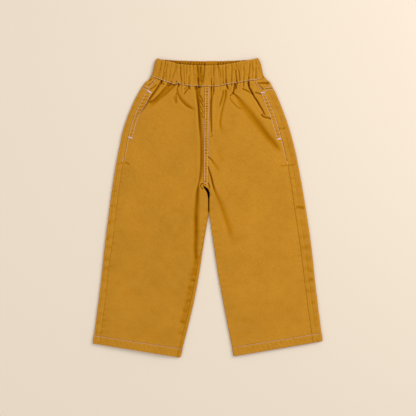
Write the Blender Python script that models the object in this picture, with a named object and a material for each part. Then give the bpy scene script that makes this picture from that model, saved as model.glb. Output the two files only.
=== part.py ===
"""A small child's pull-on trousers in cotton twill, laid flat with the front up.

Metres, +Z up. The origin is on the surface, under the middle of the laid garment. +Y runs to the
waist and +X to the right as seen from above, so "left" is the left of someone who looks down at it.
Sizes below are in millimetres, and each object's mesh is in metres.

The garment is a flattened tube. Round each row of it runs one loop of cloth: flat on the surface,
round the outer edge, over the top as the front, and below the crotch round the inner edge too. The
loop is cut at the side seam and the inseam, which gives the front and the back panel of each leg.
"""

import bpy
import numpy as np

MM = 0.001

# Driving dimensions
CLOTH = 1.3  # wall of one layer, twill with its nap
HEM_CLOTH = 1.8  # the turned-up hem
CASING = 2.2  # the waistband: cloth, elastic, cloth
SEAM = 0.3  # between two pieces at a seam
MOST_WIDENING = 4  # a cut that lies on a rolled edge is wider outside, as it narrows inward
CHORD_ROOM = 0.06  # added to each side of the curved waist seam
LAYER_GAP = 0.35  # least room between the front and what lies under it
HEM_HEIGHT = 14
CASING_HEIGHT_EDGE = 5.6  # the laid waistband at its folded ends
CASING_HEIGHT_RISE = 0.9  # its front stands this much higher away from the ends

WAIST_SIDE = {"left": 243.0, "right": 242.0}  # height of the waist seam at the outer edge
CROTCH = 41.5
HEM_SIDE = {"left": -250.0, "right": -245.5}  # hem at the outer edge
HEM_INNER = {"left": -276.0, "right": -273.5}  # hem at the inner edge
SIGN = {"left": -1, "right": 1}

# Outer edge of the laid garment below the waistband
OUTER_EDGE = (  # y, left x, right x
    (243.0, -105.3, 105.2),
    (237.0, -109.5, 110.0),
    (233.0, -114.8, 115.0),
    (225.5, -120.5, 119.0),
    (218.0, -125.1, 123.2),
    (203.5, -133.1, 130.1),
    (188.5, -140.1, 136.3),
    (170.0, -147.8, 143.3),
    (144.0, -156.4, 152.0),
    (107.0, -164.4, 161.8),
    (70.0, -171.4, 169.4),
    (40.5, -176.0, 174.7),
    (-18.5, -184.0, 184.4),
    (-63.0, -189.7, 190.9),
    (-152.0, -199.5, 200.7),
    (-250.0, -212.4, 213.0),
)

# How far the side seam lies in from the outer edge
SIDE_STRIP = (  # y, left width, right width
    (243.0, 7.5, 16.0),
    (233.0, 13.0, 24.0),
    (218.0, 13.3, 22.4),
    (203.5, 13.9, 19.7),
    (170.0, 11.6, 18.3),
    (137.0, 12.3, 19.2),
    (70.0, 12.6, 19.3),
    (-18.5, 13.6, 20.8),
    (-63.0, 13.8, 20.2),
    (-107.0, 11.9, 19.6),
    (-250.0, 12.8, 17.5),
)

# Inner edges of the legs, from the crotch down
INNER_EDGE = (  # y, left leg's x, right leg's x
    (41.5, -8.8, -7.4),
    (38.0, -6.6, -3.4),
    (32.0, -2.1, 1.3),
    (25.0, 0.4, 2.9),
    (15.0, 1.2, 3.2),
    (-9.0, 1.2, 3.2),
    (-18.5, 0.6, 4.0),
    (-63.0, -6.9, 10.3),
    (-122.0, -15.8, 19.3),
    (-181.5, -27.3, 30.1),
    (-276.0, -50.6, 48.8),
)

# Seams down the middle, from the waist to the crotch
MIDDLE_SEAMS = (  # y, centre front x, centre back x
    (243.0, -5.0, 0.0),
    (165.0, -6.0, 0.0),
    (96.0, -7.1, -3.0),
    (41.5, -8.0, -8.0),
)

# Where the inseam lies round the inner edge, in mm of cloth from the edge, positive on top
INSEAM = (  # y, left leg, right leg
    (41.5, 2.2, 2.2),
    (0.0, 2.2, 0.8),
    (-60.0, 2.4, -0.8),
    (-118.0, 7.0, -1.0),
    (-276.0, 7.4, -1.0),
)

# Thickness of the laid garment at its edges, and how far the front stands above that in the middle
LAID = (  # y, edge thickness, rise
    (243.0, 4.9, 1.1),
    (222.0, 4.3, 1.6),
    (180.0, 4.0, 2.0),
    (120.0, 3.9, 1.7),
    (41.5, 3.9, 1.4),
    (-60.0, 3.9, 1.2),
    (-200.0, 3.9, 0.8),
    (-236.0, 4.1, 0.7),
    (-276.0, 4.4, 0.5),
)

# The lower edge of the waistband on the front
WAIST_SEAM = (  # x, y
    (-105.3, 243.0),
    (-97.0, 240.6),
    (-87.0, 237.2),
    (-77.6, 233.0),
    (-60.6, 228.6),
    (-45.4, 226.4),
    (-30.4, 225.2),
    (-9.7, 224.3),
    (11.2, 224.3),
    (37.6, 228.3),
    (56.5, 231.2),
    (75.4, 235.0),
    (90.4, 236.6),
    (105.2, 242.0),
)

# The waistband's top edge: the front's dips, so that the inside of the back shows above it
FRONT_TOP = (  # x, y
    (-95.0, 275.6),
    (-73.4, 271.9),
    (-51.2, 266.5),
    (-14.2, 263.9),
    (19.1, 264.4),
    (41.3, 267.2),
    (59.8, 270.9),
    (94.0, 276.3),
)
BACK_TOP_DIP = 4.5  # how far the back's top edge dips from the corners to the middle
BACK_SEAM_MIDDLE = 233.0

WAISTBAND_EDGE = (  # y, left x, right x
    (243.0, -105.0, 105.0),
    (248.0, -102.8, 102.6),
    (262.5, -99.4, 99.3),
    (270.0, -97.5, 97.2),
    (276.0, -94.2, 93.6),
)

# Gathers of the waistband's front: one row for each valley
GATHERS = (  # x at the top, x at the seam, depth at the top, depth at the seam
    (-84.4, -90.9, 0.7, 0.9),
    (-78.0, -83.5, 0.8, 1.5),
    (-74.3, -78.4, 0.4, 0.6),
    (-66.0, -72.4, 0.4, 0.9),
    (-58.6, -66.8, 0.8, 0.6),
    (-50.6, -48.8, 1.5, 1.2),
    (-44.0, -43.0, 0.5, 0.5),
    (-39.3, -38.6, 1.1, 0.3),
    (-33.4, -34.3, 0.3, 1.0),
    (-26.6, -27.0, 0.7, 0.4),
    (-19.4, -17.8, 1.6, 1.9),
    (-13.6, -12.6, 0.8, 0.9),
    (-6.0, -8.6, 1.3, 0.7),
    (6.0, 6.8, 0.5, 1.5),
    (11.0, 11.0, 1.2, 0.5),
    (18.6, 23.4, 1.4, 0.7),
    (28.2, 28.4, 0.9, 0.6),
    (33.0, 33.4, 0.8, 1.5),
    (44.0, 43.4, 1.3, 0.9),
    (51.9, 53.6, 1.4, 1.4),
    (56.5, 59.2, 0.7, 0.9),
    (67.6, 66.0, 0.9, 0.9),
    (78.2, 74.8, 1.0, 1.6),
    (82.4, 82.6, 1.0, 0.4),
    (86.8, 89.4, 0.7, 0.9),
)
GATHER_REACH = 11  # how far a gather runs on into the panel below the seam
BACK_GATHERS = 20  # valleys on the inside of the waistband's back
BACK_CREST = 0.8
RIM_ROUNDING = 0.45  # the folded top edge of the waistband
LEAST_RIM = 0.5
LEAST_WALL = 1.1
END_INSET = 3.4  # where the front of the waistband ends and its fold begins
BACK_END_INSET = 5.0  # the same for its back
CREST = 0.45  # how far the cloth between two gathers stands up
SHOULDER = 0.45  # share of a valley's depth at its two shoulders
SHOULDER_REACH = 1.3  # how far the shoulders are from the valley

# The front's largest folds: each is a trough along its points, softer on the side with more width
FOLDS = (  # name, width to the left, width to the right, depth, points (x, y)
    ("left pocket crease", 3.2, 4.6, 1.9, ((-85, 232), (-96, 218), (-107, 203), (-120, 184), (-136, 167))),
    ("left pocket crease, inner", 4.0, 4.2, 1.3, ((-75, 225), (-88, 210), (-99, 200), (-109, 196))),
    ("left hip plane", 6.5, 5.0, 1.0, ((-55, 226), (-83, 205), (-107, 181))),
    ("left curved gather", 3.2, 4.8, 1.5, ((-54, 226), (-55, 214), (-51, 203), (-44, 194), (-23, 181))),
    ("left short gather", 3.0, 3.0, 0.7, ((-57, 214), (-58, 200), (-57, 190))),
    (
        "long front fold",
        2.6,
        6.0,
        2.7,
        (
            (-17, 227),
            (-19, 200),
            (-15, 175),
            (-11, 126),
            (-11, 67),
            (-16, 46),
            (-20, 15),
            (-23, -22),
            (-24, -78),
            (-21, -100),
            (-16, -116),
        ),
    ),
    ("fold by the front seam", 3.0, 3.0, 1.9, ((7, 227), (7, 200), (6, 172), (6, 131))),
    ("right short gather", 3.0, 3.0, 0.8, ((28, 217), (20, 185), (17, 176))),
    ("right curved gather", 3.2, 3.8, 1.2, ((32, 221), (26, 178), (23, 155), (30, 135), (35, 126))),
    (
        "right hip fold",
        6.0,
        5.5,
        2.2,
        ((47, 225), (47, 213), (62, 200), (77, 181), (97, 152), (119, 126), (139, 100)),
    ),
    ("right hip fold, inner", 4.5, 4.0, 0.9, ((38, 209), (52, 190), (65, 181))),
    ("right pocket crease", 3.2, 4.4, 2.3, ((75, 236), (82, 214), (91, 196), (101, 181), (108, 170))),
    ("right pocket hook", 3.4, 3.4, 0.9, ((99, 174), (104, 167), (117, 163))),
    ("right cross gather", 3.4, 3.4, 0.9, ((63, 219), (80, 213))),
    ("crotch crease", 3.6, 3.6, 1.0, ((-1, 95), (10, 85), (21, 72))),
    (
        "right inner fold",
        3.2,
        5.0,
        2.0,
        ((0, 74), (5, 63), (9, 50), (13, 35), (21, 17), (32, -15), (38, -41), (47, -60), (52, -100)),
    ),
)

# Columns of the front panels follow the long fold beside the centre, then the inner edge
GUIDES = (  # y, left panel's x, right panel's x
    (227.0, -17.0, 7.2),
    (200.0, -19.0, 7.2),
    (175.0, -15.0, 5.8),
    (126.0, -11.6, 6.2),
    (94.0, -11.4, 5.0),
    (67.0, -12.5, 6.0),
    (46.0, -16.0, 9.8),
    (15.0, -20.0, 21.5),
    (-22.0, -23.0, 33.5),
    (-78.0, -24.5, 47.0),
    (-100.0, -27.0, 52.4),
    (-276.0, -70.0, 78.0),
)

# Rows across the garment, as shares of the way from the waist seam to the crotch and on to the hem
HEM_SHARE = HEM_HEIGHT / (CROTCH - HEM_SIDE["left"])
HEM_STEP = 0.005  # the step up to the hem's thickness
RISE_SHARES = (0, 0.015, 0.04, 0.07, 0.104, 0.14, 0.175, 0.21, 0.245, 0.28, 0.315, 0.35, 0.39)
RISE_SHARES += (0.43, 0.47, 0.515, 0.56, 0.61, 0.665, 0.72, 0.78, 0.84, 0.9, 0.955, 1)
LEG_SHARES = (0.01, 0.022, 0.035, 0.052, 0.075, 0.11, 0.16, 0.22, 0.29, 0.37, 0.45, 0.53, 0.61)
LEG_SHARES += (0.69, 0.77, 0.85, 0.91, 1 - HEM_SHARE - HEM_STEP, 1 - HEM_SHARE, 1)
LAST_ROW = len(RISE_SHARES) + len(LEG_SHARES) - 1
YOKE_ROW = 4  # the yoke seam follows this row
HEM_ROWS = 2  # the last rows, which have the hem's thickness

# Where a row that starts at a share of the rise meets the middle, on the front and on the back
ROW_MIDDLES = (  # share, front y, back y
    (0.0, 224.3, BACK_SEAM_MIDDLE),
    (0.104, 206.0, 195.0),
    (0.26, 180.0, 174.0),
    (0.5, 140.0, 138.0),
    (1.0, CROTCH, CROTCH),
)
SEAM_CURVE_FADE = 0.2  # share of the rise over which the rows lose the waist seam's curve

# Distances along the cloth from the inner edge at which the panels have columns
FRONT_INNER_COLUMNS = (13.0, 7.5, 3.0, 1.5, 0.2, -1.0)
BACK_INNER_COLUMNS = {
    "left": (-12.0, -6.5, -3.0, -1.5, 0.0, 1.5, 3.0, 7.4),
    "right": (-12.0, -6.5, -3.0, -1.6, 0.0, 2.2),
}
LEAST_COLUMN = 0.5

POCKET_MOUTH = {"left": (130.0, 213.0), "right": (127.0, 213.0)}  # y of the two ends
POCKET_LIFT = 0.5
FELL_WIDTH = 7.5  # the felled centre-front seam stands proud by its extra layers
FELL_LIFT = 0.45


def smooth(table, column, at):
    """The value of a table's column at a height or place, on a smooth curve that never overshoots."""
    rows = sorted(table)
    knots = np.array([row[0] for row in rows], float)
    values = np.array([row[column] for row in rows], float)
    step = np.diff(knots)
    slope = np.diff(values) / step
    bend = np.zeros_like(values)
    bend[0], bend[-1] = slope[0], slope[-1]
    same_way = slope[1:] * slope[:-1] > 0
    total = np.where(same_way, slope[1:] + slope[:-1], 1)
    bend[1:-1] = np.where(same_way, 2 * slope[1:] * slope[:-1] / total, 0)
    at = np.asarray(at, float)
    k = np.clip(np.searchsorted(knots, at) - 1, 0, len(step) - 1)
    t = np.clip((at - knots[k]) / step[k], 0, 1)
    start = values[k] * (1 + 2 * t) * (1 - t) ** 2 + bend[k] * step[k] * t * (1 - t) ** 2
    end = values[k + 1] * t * t * (3 - 2 * t) + bend[k + 1] * step[k] * t * t * (t - 1)
    return start + end


def ease(t):
    t = np.clip(t, 0, 1)
    return t * t * (3 - 2 * t)


def column_of(side):
    return 1 if side == "left" else 2


def outer_edge(side, y):
    return smooth(OUTER_EDGE, column_of(side), y)


def inner_edge(side, y):
    return smooth(INNER_EDGE, column_of(side), y)


def edge_thickness(y):
    return smooth(LAID, 1, y)


def fold_depth(x, y):
    """How far all the folds together lower the front at (x, y)."""
    total = 0.0
    for _, width_left, width_right, depth, points in FOLDS:
        path = np.array(points, float)
        starts, runs = path[:-1], np.diff(path, axis=0)
        along = ((x - starts[:, 0]) * runs[:, 0] + (y - starts[:, 1]) * runs[:, 1]) / (runs**2).sum(1)
        nearest = starts + runs * np.clip(along, 0, 1)[:, None]
        away = np.hypot(x - nearest[:, 0], y - nearest[:, 1])
        k = int(away.argmin())
        width = width_left if x < nearest[k, 0] else width_right
        # A fold runs out over its last stretch.
        place = (k + np.clip(along[k], 0, 1)) / len(runs)
        fading = ease((1.04 - place) / 0.3)
        total += depth * fading * np.exp(-((away[k] / width) ** 2))
    return total


def gather_depth(x, below_seam):
    """The waistband's gathers run on for a little way into the panels."""
    if below_seam > 4 * GATHER_REACH:
        return 0.0
    fading = np.exp(-below_seam / GATHER_REACH)
    return sum(0.75 * seam * fading * np.exp(-(((x - place) / 2.4) ** 2)) for _, place, _, seam in GATHERS)


def front_height(side, x, y, wall):
    """Height of the front's outer face where it lies over the back."""
    edge = edge_thickness(y)
    from_outer = abs(outer_edge(side, y) - x)
    rise = smooth(LAID, 2, y) * ease(from_outer / 32)
    below_crotch = ease((CROTCH - y) / 26)
    from_inner = abs(x - inner_edge(side, y))
    rise *= 1 - below_crotch * (1 - ease(from_inner / 24))
    near_roll = ease((from_outer - 2) / 8) * (1 - below_crotch * (1 - ease((from_inner - 2) / 5)))
    sunk = fold_depth(x, y) + gather_depth(x, smooth(WAIST_SEAM, 1, x) - y)
    lowest = 2 * wall + LAYER_GAP
    return max(edge + rise - sunk * near_roll, lowest)


def row_heights(side):
    """For each row: y at the outer edge, y at the middle on the front and on the back, curve left."""
    rows = []
    for share in RISE_SHARES:
        side_y = WAIST_SIDE[side] + (CROTCH - WAIST_SIDE[side]) * share
        front, back = smooth(ROW_MIDDLES, 1, share), smooth(ROW_MIDDLES, 2, share)
        rows.append((side_y, float(front), float(back), float(1 - ease(share / SEAM_CURVE_FADE))))
    for share in LEG_SHARES:
        side_y = CROTCH + (HEM_SIDE[side] - CROTCH) * share
        middle = CROTCH + (HEM_INNER[side] - CROTCH) * share
        rows.append((side_y, middle, middle, 0.0))
    return rows


class Row:
    """One row across a leg panel: where the cloth is at a distance round its outer or inner edge."""

    def __init__(self, side, number):
        self.side = side
        self.sign = SIGN[side]
        self.outer_y, self.front_y, self.back_y, self.curve = row_heights(side)[number]
        self.wall = HEM_CLOTH if number > LAST_ROW - HEM_ROWS else CLOTH
        self.legs_apart = number >= len(RISE_SHARES)
        self.outer_x = float(outer_edge(side, self.outer_y))
        column = column_of(side)
        if self.legs_apart:
            self.middle_x = float(inner_edge(side, self.front_y))
        else:
            self.middle_x = float(smooth(MIDDLE_SEAMS, 1, self.front_y))
        self.back_x = self.middle_x if self.legs_apart else float(smooth(MIDDLE_SEAMS, 2, self.back_y))
        self.seam_x = self.outer_x - self.sign * float(smooth(SIDE_STRIP, column, self.outer_y))
        self.inseam = float(smooth(INSEAM, column, self.front_y))
        radius = float(edge_thickness(self.front_y)) / 2
        on_edge = self.legs_apart and abs(self.inseam) < np.pi / 2 * radius
        widening = min(radius / (radius - self.wall), MOST_WIDENING) if on_edge else 1
        self.half_inseam = SEAM / 2 * widening
        self.guide_x = float(smooth(GUIDES, column, self.front_y))

    def y_on_front(self, x):
        across = np.clip((x - self.outer_x) / (self.middle_x - self.outer_x), 0, 1)
        y = self.outer_y + (self.front_y - self.outer_y) * across
        first = WAIST_SIDE[self.side] + (ROW_MIDDLES[0][1] - WAIST_SIDE[self.side]) * across
        return y + (float(smooth(WAIST_SEAM, 1, x)) - first) * self.curve * (not self.legs_apart)

    def y_on_back(self, x):
        across = np.clip((x - self.outer_x) / (self.back_x - self.outer_x), 0, 1)
        return self.outer_y + (self.back_y - self.outer_y) * across

    def on_top(self, x, lift=0.0):
        """Outer and inner point of the wall where the cloth lies on top at x."""
        y = self.y_on_front(x)
        z = front_height(self.side, x, y, self.wall) + lift
        return (x, y, z), (x, y, z - self.wall)

    def below(self, x):
        y = self.y_on_back(x)
        return (x, y, 0.0), (x, y, self.wall)

    def round_edge(self, edge_x, outward, along, y_front, y_back):
        """The wall at a distance along the cloth from the edge's outermost line, positive on top."""
        radius = float(edge_thickness(y_front)) / 2
        quarter = np.pi / 2 * radius
        if along >= quarter:
            x = edge_x - outward * (radius + along - quarter)
            return self.on_top(x)
        if along <= -quarter:
            x = edge_x - outward * (radius - along - quarter)
            return self.below(x)
        angle = along / radius
        y = y_back + (y_front - y_back) * (1 + np.sin(angle)) / 2
        points = []
        for r in (radius, radius - self.wall):
            points.append((edge_x - outward * (radius - r * np.cos(angle)), y, radius + r * np.sin(angle)))
        return tuple(points)

    def round_outer(self, along):
        return self.round_edge(self.outer_x, self.sign, along, self.outer_y, self.outer_y)

    def round_inner(self, along, front):
        """Near the inner edge, or near the middle seam where there is no inner edge."""
        if self.legs_apart:
            return self.round_edge(self.middle_x, -self.sign, along, self.front_y, self.front_y)
        from_seam = abs(along - self.inseam)
        if front:
            return self.on_top(self.middle_x + self.sign * from_seam)
        return self.below(self.back_x + self.sign * from_seam)


def squeezed(columns, seam, toward_seam):
    """The inner columns, moved so that none passes the seam and none is too narrow."""
    count = len(columns)
    moved = []
    for k, place in enumerate(columns):
        room = LEAST_COLUMN * (count - 1 - k)
        moved.append(max(place, seam + room) if toward_seam < 0 else min(place, seam - room))
    moved[-1] = seam
    return moved


def front_row(side, number):
    """Outer and inner points of a front panel's row, from the side seam to the middle or inseam."""
    row = Row(side, number)
    inward = -row.sign
    start = row.seam_x + inward * SEAM / 2
    seam = row.inseam + row.half_inseam
    inner = squeezed(FRONT_INNER_COLUMNS, seam, -1)
    first_inner = row.round_inner(inner[0], True)[0][0]
    guide = row.guide_x
    if (first_inner - guide) * inward < 4:
        guide = first_inner - inward * 4
    outer_part = np.linspace(0, 1, 12)[:-1]
    places = [start + (guide - inward * 2.2 - start) * t for t in outer_part]
    places += [guide - inward * 2.2, guide]
    places += [guide + (first_inner - guide) * t for t in (0.33, 0.66)]
    low, high = POCKET_MOUTH[side]
    points = []
    for x in places:
        lift = 0.0
        if low < row.outer_y < high:
            lift += POCKET_LIFT * np.exp(-(((x - start) / 4) ** 2))
        points.append(row.on_top(float(x), lift))
    points += [row.round_inner(s, True) for s in inner]
    if side == "right" and not row.legs_apart:
        points = [felled(row, point) for point in points]
    return points


def felled(row, pair):
    """The band between the two rows of stitching beside the centre-front seam has more layers."""
    outer, inner = pair
    share = ease((FELL_WIDTH - abs(outer[0] - row.middle_x)) / 1.5)
    lift = FELL_LIFT * float(share)
    return (outer[0], outer[1], outer[2] + lift), inner


def back_row(side, number):
    """Outer and inner points of a back panel's row, from the side seam on top, round and under."""
    row = Row(side, number)
    inward = -row.sign
    radius = float(edge_thickness(row.outer_y)) / 2
    quarter = np.pi / 2 * radius
    strip = abs(row.seam_x - row.outer_x) - SEAM / 2
    ends = quarter + strip - radius
    outer = [ends, quarter + 0.5 * (ends - quarter), quarter, 0.45 * quarter, -0.1 * quarter]
    outer += [-0.6 * quarter, -quarter]
    points = [row.round_outer(s) for s in outer]
    seam = row.inseam - row.half_inseam
    inner = squeezed(BACK_INNER_COLUMNS[side], seam, 1)
    last = row.outer_x + inward * radius
    first_inner = row.round_inner(inner[0], False)[0][0]
    points += [row.below(float(last + (first_inner - last) * t)) for t in (0.25, 0.6)]
    points += [row.round_inner(s, False) for s in inner]
    return points


def opened(points, way):
    """A row moved up or down by half a seam, and by more where the row runs at a slant."""
    steps = np.diff(np.array([pair[0] for pair in points]), axis=0)
    slant = np.linalg.norm(steps, axis=1) / np.hypot(steps[:, 0], steps[:, 2])
    slant = np.maximum(np.append(slant, 1), np.insert(slant, 0, 1))
    moved = []
    for pair, factor in zip(points, slant):
        dy = way * (SEAM / 2 * factor + CHORD_ROOM)
        moved.append(tuple((x, y + dy, z) for x, y, z in pair))
    return moved


def solid(name, rows, ring=False):
    """A closed wall from rows of (outer point, inner point)."""
    outer = np.array([[pair[0] for pair in row] for row in rows]) * MM
    inner = np.array([[pair[1] for pair in row] for row in rows]) * MM
    down, across = outer.shape[:2]
    points = np.concatenate([outer.reshape(-1, 3), inner.reshape(-1, 3)])
    shift = down * across

    def at(r, c):
        return r * across + c % across

    faces = []
    for r in range(down - 1):
        for c in range(across if ring else across - 1):
            a, b, e, d = at(r, c), at(r, c + 1), at(r + 1, c + 1), at(r + 1, c)
            faces.append((a, b, e, d))
            faces.append((d + shift, e + shift, b + shift, a + shift))
    for r, turned in ((0, True), (down - 1, False)):
        for c in range(across if ring else across - 1):
            a, b = at(r, c), at(r, c + 1)
            rim = (a, a + shift, b + shift, b)
            faces.append(rim if turned else rim[::-1])
    if not ring:
        for c, turned in ((0, False), (across - 1, True)):
            for r in range(down - 1):
                a, b = at(r, c), at(r + 1, c)
                rim = (a, a + shift, b + shift, b)
                faces.append(rim if turned else rim[::-1])
    if volume(points, faces) < 0:
        faces = [face[::-1] for face in faces]
    mesh = bpy.data.meshes.new(name)
    mesh.from_pydata(points.tolist(), [], faces)
    mesh.validate()
    mesh.update()
    mesh.shade_smooth()
    mesh.set_sharp_from_angle(angle=np.radians(55))
    piece = bpy.data.objects.new(name, mesh)
    bpy.context.scene.collection.objects.link(piece)
    return piece


def volume(points, faces):
    """Signed volume of a closed mesh of quads, to tell whether its faces point out."""
    total = 0.0
    for a, b, c, d in faces:
        for p, q, r in ((a, b, c), (a, c, d)):
            total += np.dot(points[p], np.cross(points[q], points[r]))
    return total / 6


def linear(channel):
    """A colour channel from 0 to 255 as light."""
    share = channel / 255
    return share / 12.92 if share <= 0.04045 else ((share + 0.055) / 1.055) ** 2.4


def twill(piece, red, green, blue, roughness):
    """Each piece has its own material: mustard twill, with no metal in it."""
    material = bpy.data.materials.new(piece.name + "_twill")
    material.use_nodes = True
    shader = material.node_tree.nodes["Principled BSDF"]
    shader.inputs["Base Color"].default_value = (linear(red), linear(green), linear(blue), 1)
    shader.inputs["Roughness"].default_value = roughness
    shader.inputs["Metallic"].default_value = 0.0
    piece.data.materials.append(material)


def leg_panel(name, build_row, side, first, last):
    """A panel between two rows; it starts half a seam below its first row and ends above its last."""
    rows = [build_row(side, k) for k in range(first, last + 1)]
    rows[0] = opened(rows[0], -1)
    if last != LAST_ROW:
        rows[-1] = opened(rows[-1], 1)
    return solid(name, rows)


def band_edge(side, share):
    """The waistband's folded end at a share of its height."""
    low, high = WAISTBAND_EDGE[0][0], WAISTBAND_EDGE[-1][0]
    y = low + (high - low) * share
    return float(smooth(WAISTBAND_EDGE, column_of(side), y)), y


def band_front_point(x_seam, x_top, share, drop, crest, rim):
    """The waistband's front at a share of its height; its wall is thinner under a deep valley."""
    x = x_seam + (x_top - x_seam) * share
    low = float(smooth(WAIST_SEAM, 1, x_seam)) + SEAM / 2 + CHORD_ROOM
    high = float(smooth(FRONT_TOP, 1, x_top))
    y = low + (high - low) * share
    from_end = min(abs(x - band_edge("left", share)[0]), abs(x - band_edge("right", share)[0]))
    base = CASING_HEIGHT_EDGE + CASING_HEIGHT_RISE * float(ease((from_end - 2) / 14))
    outer = base + crest - drop - rim
    inner = min(base - CASING + rim, outer - (LEAST_RIM if rim else LEAST_WALL))
    inner = max(inner, CASING + BACK_CREST + LAYER_GAP)
    return (x, y, outer), (x, y, inner)


def band_stations():
    """Places round the waistband's front: each valley with its two shoulders, and each crest."""
    stations = []
    ends = []
    for side in ("left", "right"):
        ends.append([band_edge(side, share)[0] - SIGN[side] * END_INSET for share in (1, 0)])
    stations.append((ends[0][1], ends[0][0], 0.0, 0.0, 0.0))
    for k, (top, seam, deep_top, deep_seam) in enumerate(GATHERS):
        before = GATHERS[k - 1] if k else (ends[0][0], ends[0][1])
        after = GATHERS[k + 1] if k + 1 < len(GATHERS) else (ends[1][0], ends[1][1])
        room = min(seam - before[1], after[1] - seam, top - before[0], after[0] - top)
        reach = min(SHOULDER_REACH, 0.3 * room)
        for offset, part in ((-reach, SHOULDER), (0, 1), (reach, SHOULDER)):
            stations.append((seam + offset, top + offset, deep_seam * part, deep_top * part, 0.0))
        if k + 1 < len(GATHERS):
            stations.append(((seam + after[1]) / 2, (top + after[0]) / 2, 0.0, 0.0, CREST))
    stations.append((ends[1][1], ends[1][0], 0.0, 0.0, 0.0))
    return stations


def waistband():
    """One ring: across the front, round the right end, back under, and round the left end."""
    shares = (0.0, 0.3, 0.7, 0.95, 1.0)
    radius = CASING_HEIGHT_EDGE / 2
    rows = []
    for share in shares:
        rim = RIM_ROUNDING if share == 1.0 else 0.0
        row = []
        for seam, top, deep_seam, deep_top, crest in band_stations():
            drop = deep_seam + (deep_top - deep_seam) * share
            row.append(band_front_point(seam, top, share, drop, crest, rim))
        row += band_end("right", share, radius, rim, (90, 45, 0, -45, -90))
        row += band_back(share, rim)
        row += band_end("left", share, radius, rim, (-90, -45, 0, 45, 90))
        rows.append(row)
    return solid("waistband", rows, ring=True)


def band_end(side, share, radius, rim, angles):
    """The fold at one end of the laid waistband."""
    edge_x, _ = band_edge(side, share)
    front_y = edge_height(side, share, top=True)
    back_y = edge_height(side, share, top=False)
    pairs = []
    for degrees in angles:
        angle = np.radians(degrees)
        y = back_y + (front_y - back_y) * (1 + np.sin(angle)) / 2
        pair = []
        for r in (radius - 0.4 * rim, radius - CASING + rim):
            x = edge_x - SIGN[side] * (radius - r * np.cos(angle))
            pair.append((x, y, radius + r * np.sin(angle)))
        pairs.append(tuple(pair))
    return pairs


def edge_height(side, share, top):
    """y of the waistband's end at a share of its height, on the front or on the back."""
    low = WAIST_SIDE[side] + SEAM / 2
    high = FRONT_TOP[0][1] if side == "left" else FRONT_TOP[-1][1]
    return low + (high - low) * share if top else low + (high - 0.4 - low) * share


def band_back(share, rim):
    """The waistband's back lies flat; its inside is gathered."""
    pairs = []
    count = 2 * BACK_GATHERS
    right_x = band_edge("right", share)[0] - BACK_END_INSET
    left_x = band_edge("left", share)[0] + BACK_END_INSET
    for k in range(count + 1):
        part = k / count
        uneven = 0.25 * np.sin(7.3 * part * np.pi) / count
        x = right_x + (left_x - right_x) * (part + uneven * (0 < k < count))
        bow = (x / 105) ** 2
        side_low = WAIST_SIDE["right"] + (WAIST_SIDE["left"] - WAIST_SIDE["right"]) * part
        low = BACK_SEAM_MIDDLE + (side_low - BACK_SEAM_MIDDLE) * abs(x) / 105 + SEAM / 2
        high = FRONT_TOP[0][1] - BACK_TOP_DIP * (1 - bow)
        y = low + (high - low) * share
        crest = BACK_CREST * (k % 2) * (0.75 + 0.25 * np.cos(5 * part * np.pi))
        crest *= ease(min(part, 1 - part) / 0.05)
        pairs.append(((x, y, 0.6 * rim), (x, y, CASING + crest - rim)))
    return pairs


def clear_scene():
    for thing in list(bpy.data.objects):
        bpy.data.objects.remove(thing)


def main():
    clear_scene()
    pieces = [waistband()]
    twill(pieces[0], 188, 129, 36, 0.82)
    for side in ("left", "right"):
        front = leg_panel("front_" + side, front_row, side, 0, LAST_ROW)
        twill(front, 191, 133, 39, 0.8)
        yoke = leg_panel("yoke_" + side, back_row, side, 0, YOKE_ROW)
        twill(yoke, 187, 128, 35, 0.82)
        back = leg_panel("back_" + side, back_row, side, YOKE_ROW, LAST_ROW)
        twill(back, 186, 127, 34, 0.84)
        pieces += [front, yoke, back]
    garment = bpy.data.objects.new("trousers", None)
    bpy.context.scene.collection.objects.link(garment)
    for piece in pieces:
        piece.parent = garment


main()
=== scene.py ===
# %% [markdown]
# # A small child's trousers, laid flat
#
# These are wide pull-on trousers in mustard cotton twill: a gathered elastic waistband, a felled
# seam down the front, curved side pocket openings, a back yoke and stitched hems. They lie on a
# table with the front up, and the camera looks straight down.
#
# A pair of trousers laid flat is a flattened tube. Each row across it is one loop of cloth: flat on
# the table, round the outer edge, over the top, and below the crotch round the inner edge too. So
# every panel here is a fine grid of points on that loop, moved up and down by folds, gathers and
# puckers that are placed one by one. A cloth simulation would give softer cloth, but not these folds.
#
# Sizes are in millimetres until a mesh is made, and +Y runs to the waist.

from types import SimpleNamespace

import bpy
import numpy as np
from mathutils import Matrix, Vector
from mathutils.bvhtree import BVHTree


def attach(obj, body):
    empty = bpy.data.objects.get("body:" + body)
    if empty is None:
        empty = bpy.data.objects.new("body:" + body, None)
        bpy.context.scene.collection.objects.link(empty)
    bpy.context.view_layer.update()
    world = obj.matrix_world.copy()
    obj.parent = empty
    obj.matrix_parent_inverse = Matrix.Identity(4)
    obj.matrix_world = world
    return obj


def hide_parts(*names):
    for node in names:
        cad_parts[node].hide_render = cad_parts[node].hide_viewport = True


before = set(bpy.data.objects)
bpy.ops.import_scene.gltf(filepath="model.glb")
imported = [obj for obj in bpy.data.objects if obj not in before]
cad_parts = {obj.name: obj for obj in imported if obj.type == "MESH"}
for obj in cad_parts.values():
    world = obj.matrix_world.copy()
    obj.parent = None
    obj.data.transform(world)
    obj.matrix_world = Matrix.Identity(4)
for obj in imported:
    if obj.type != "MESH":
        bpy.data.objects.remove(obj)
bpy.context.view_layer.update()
MM = 0.001

# %% [markdown]
# ## The sizes of the garment
#
# A maker would start from a paper pattern. This one is a set of small tables: how far each edge and
# seam lies from the middle at a few heights. A smooth curve through each table's rows gives every
# point between them. The curve never swings past its rows, as a plain spline can.

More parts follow.
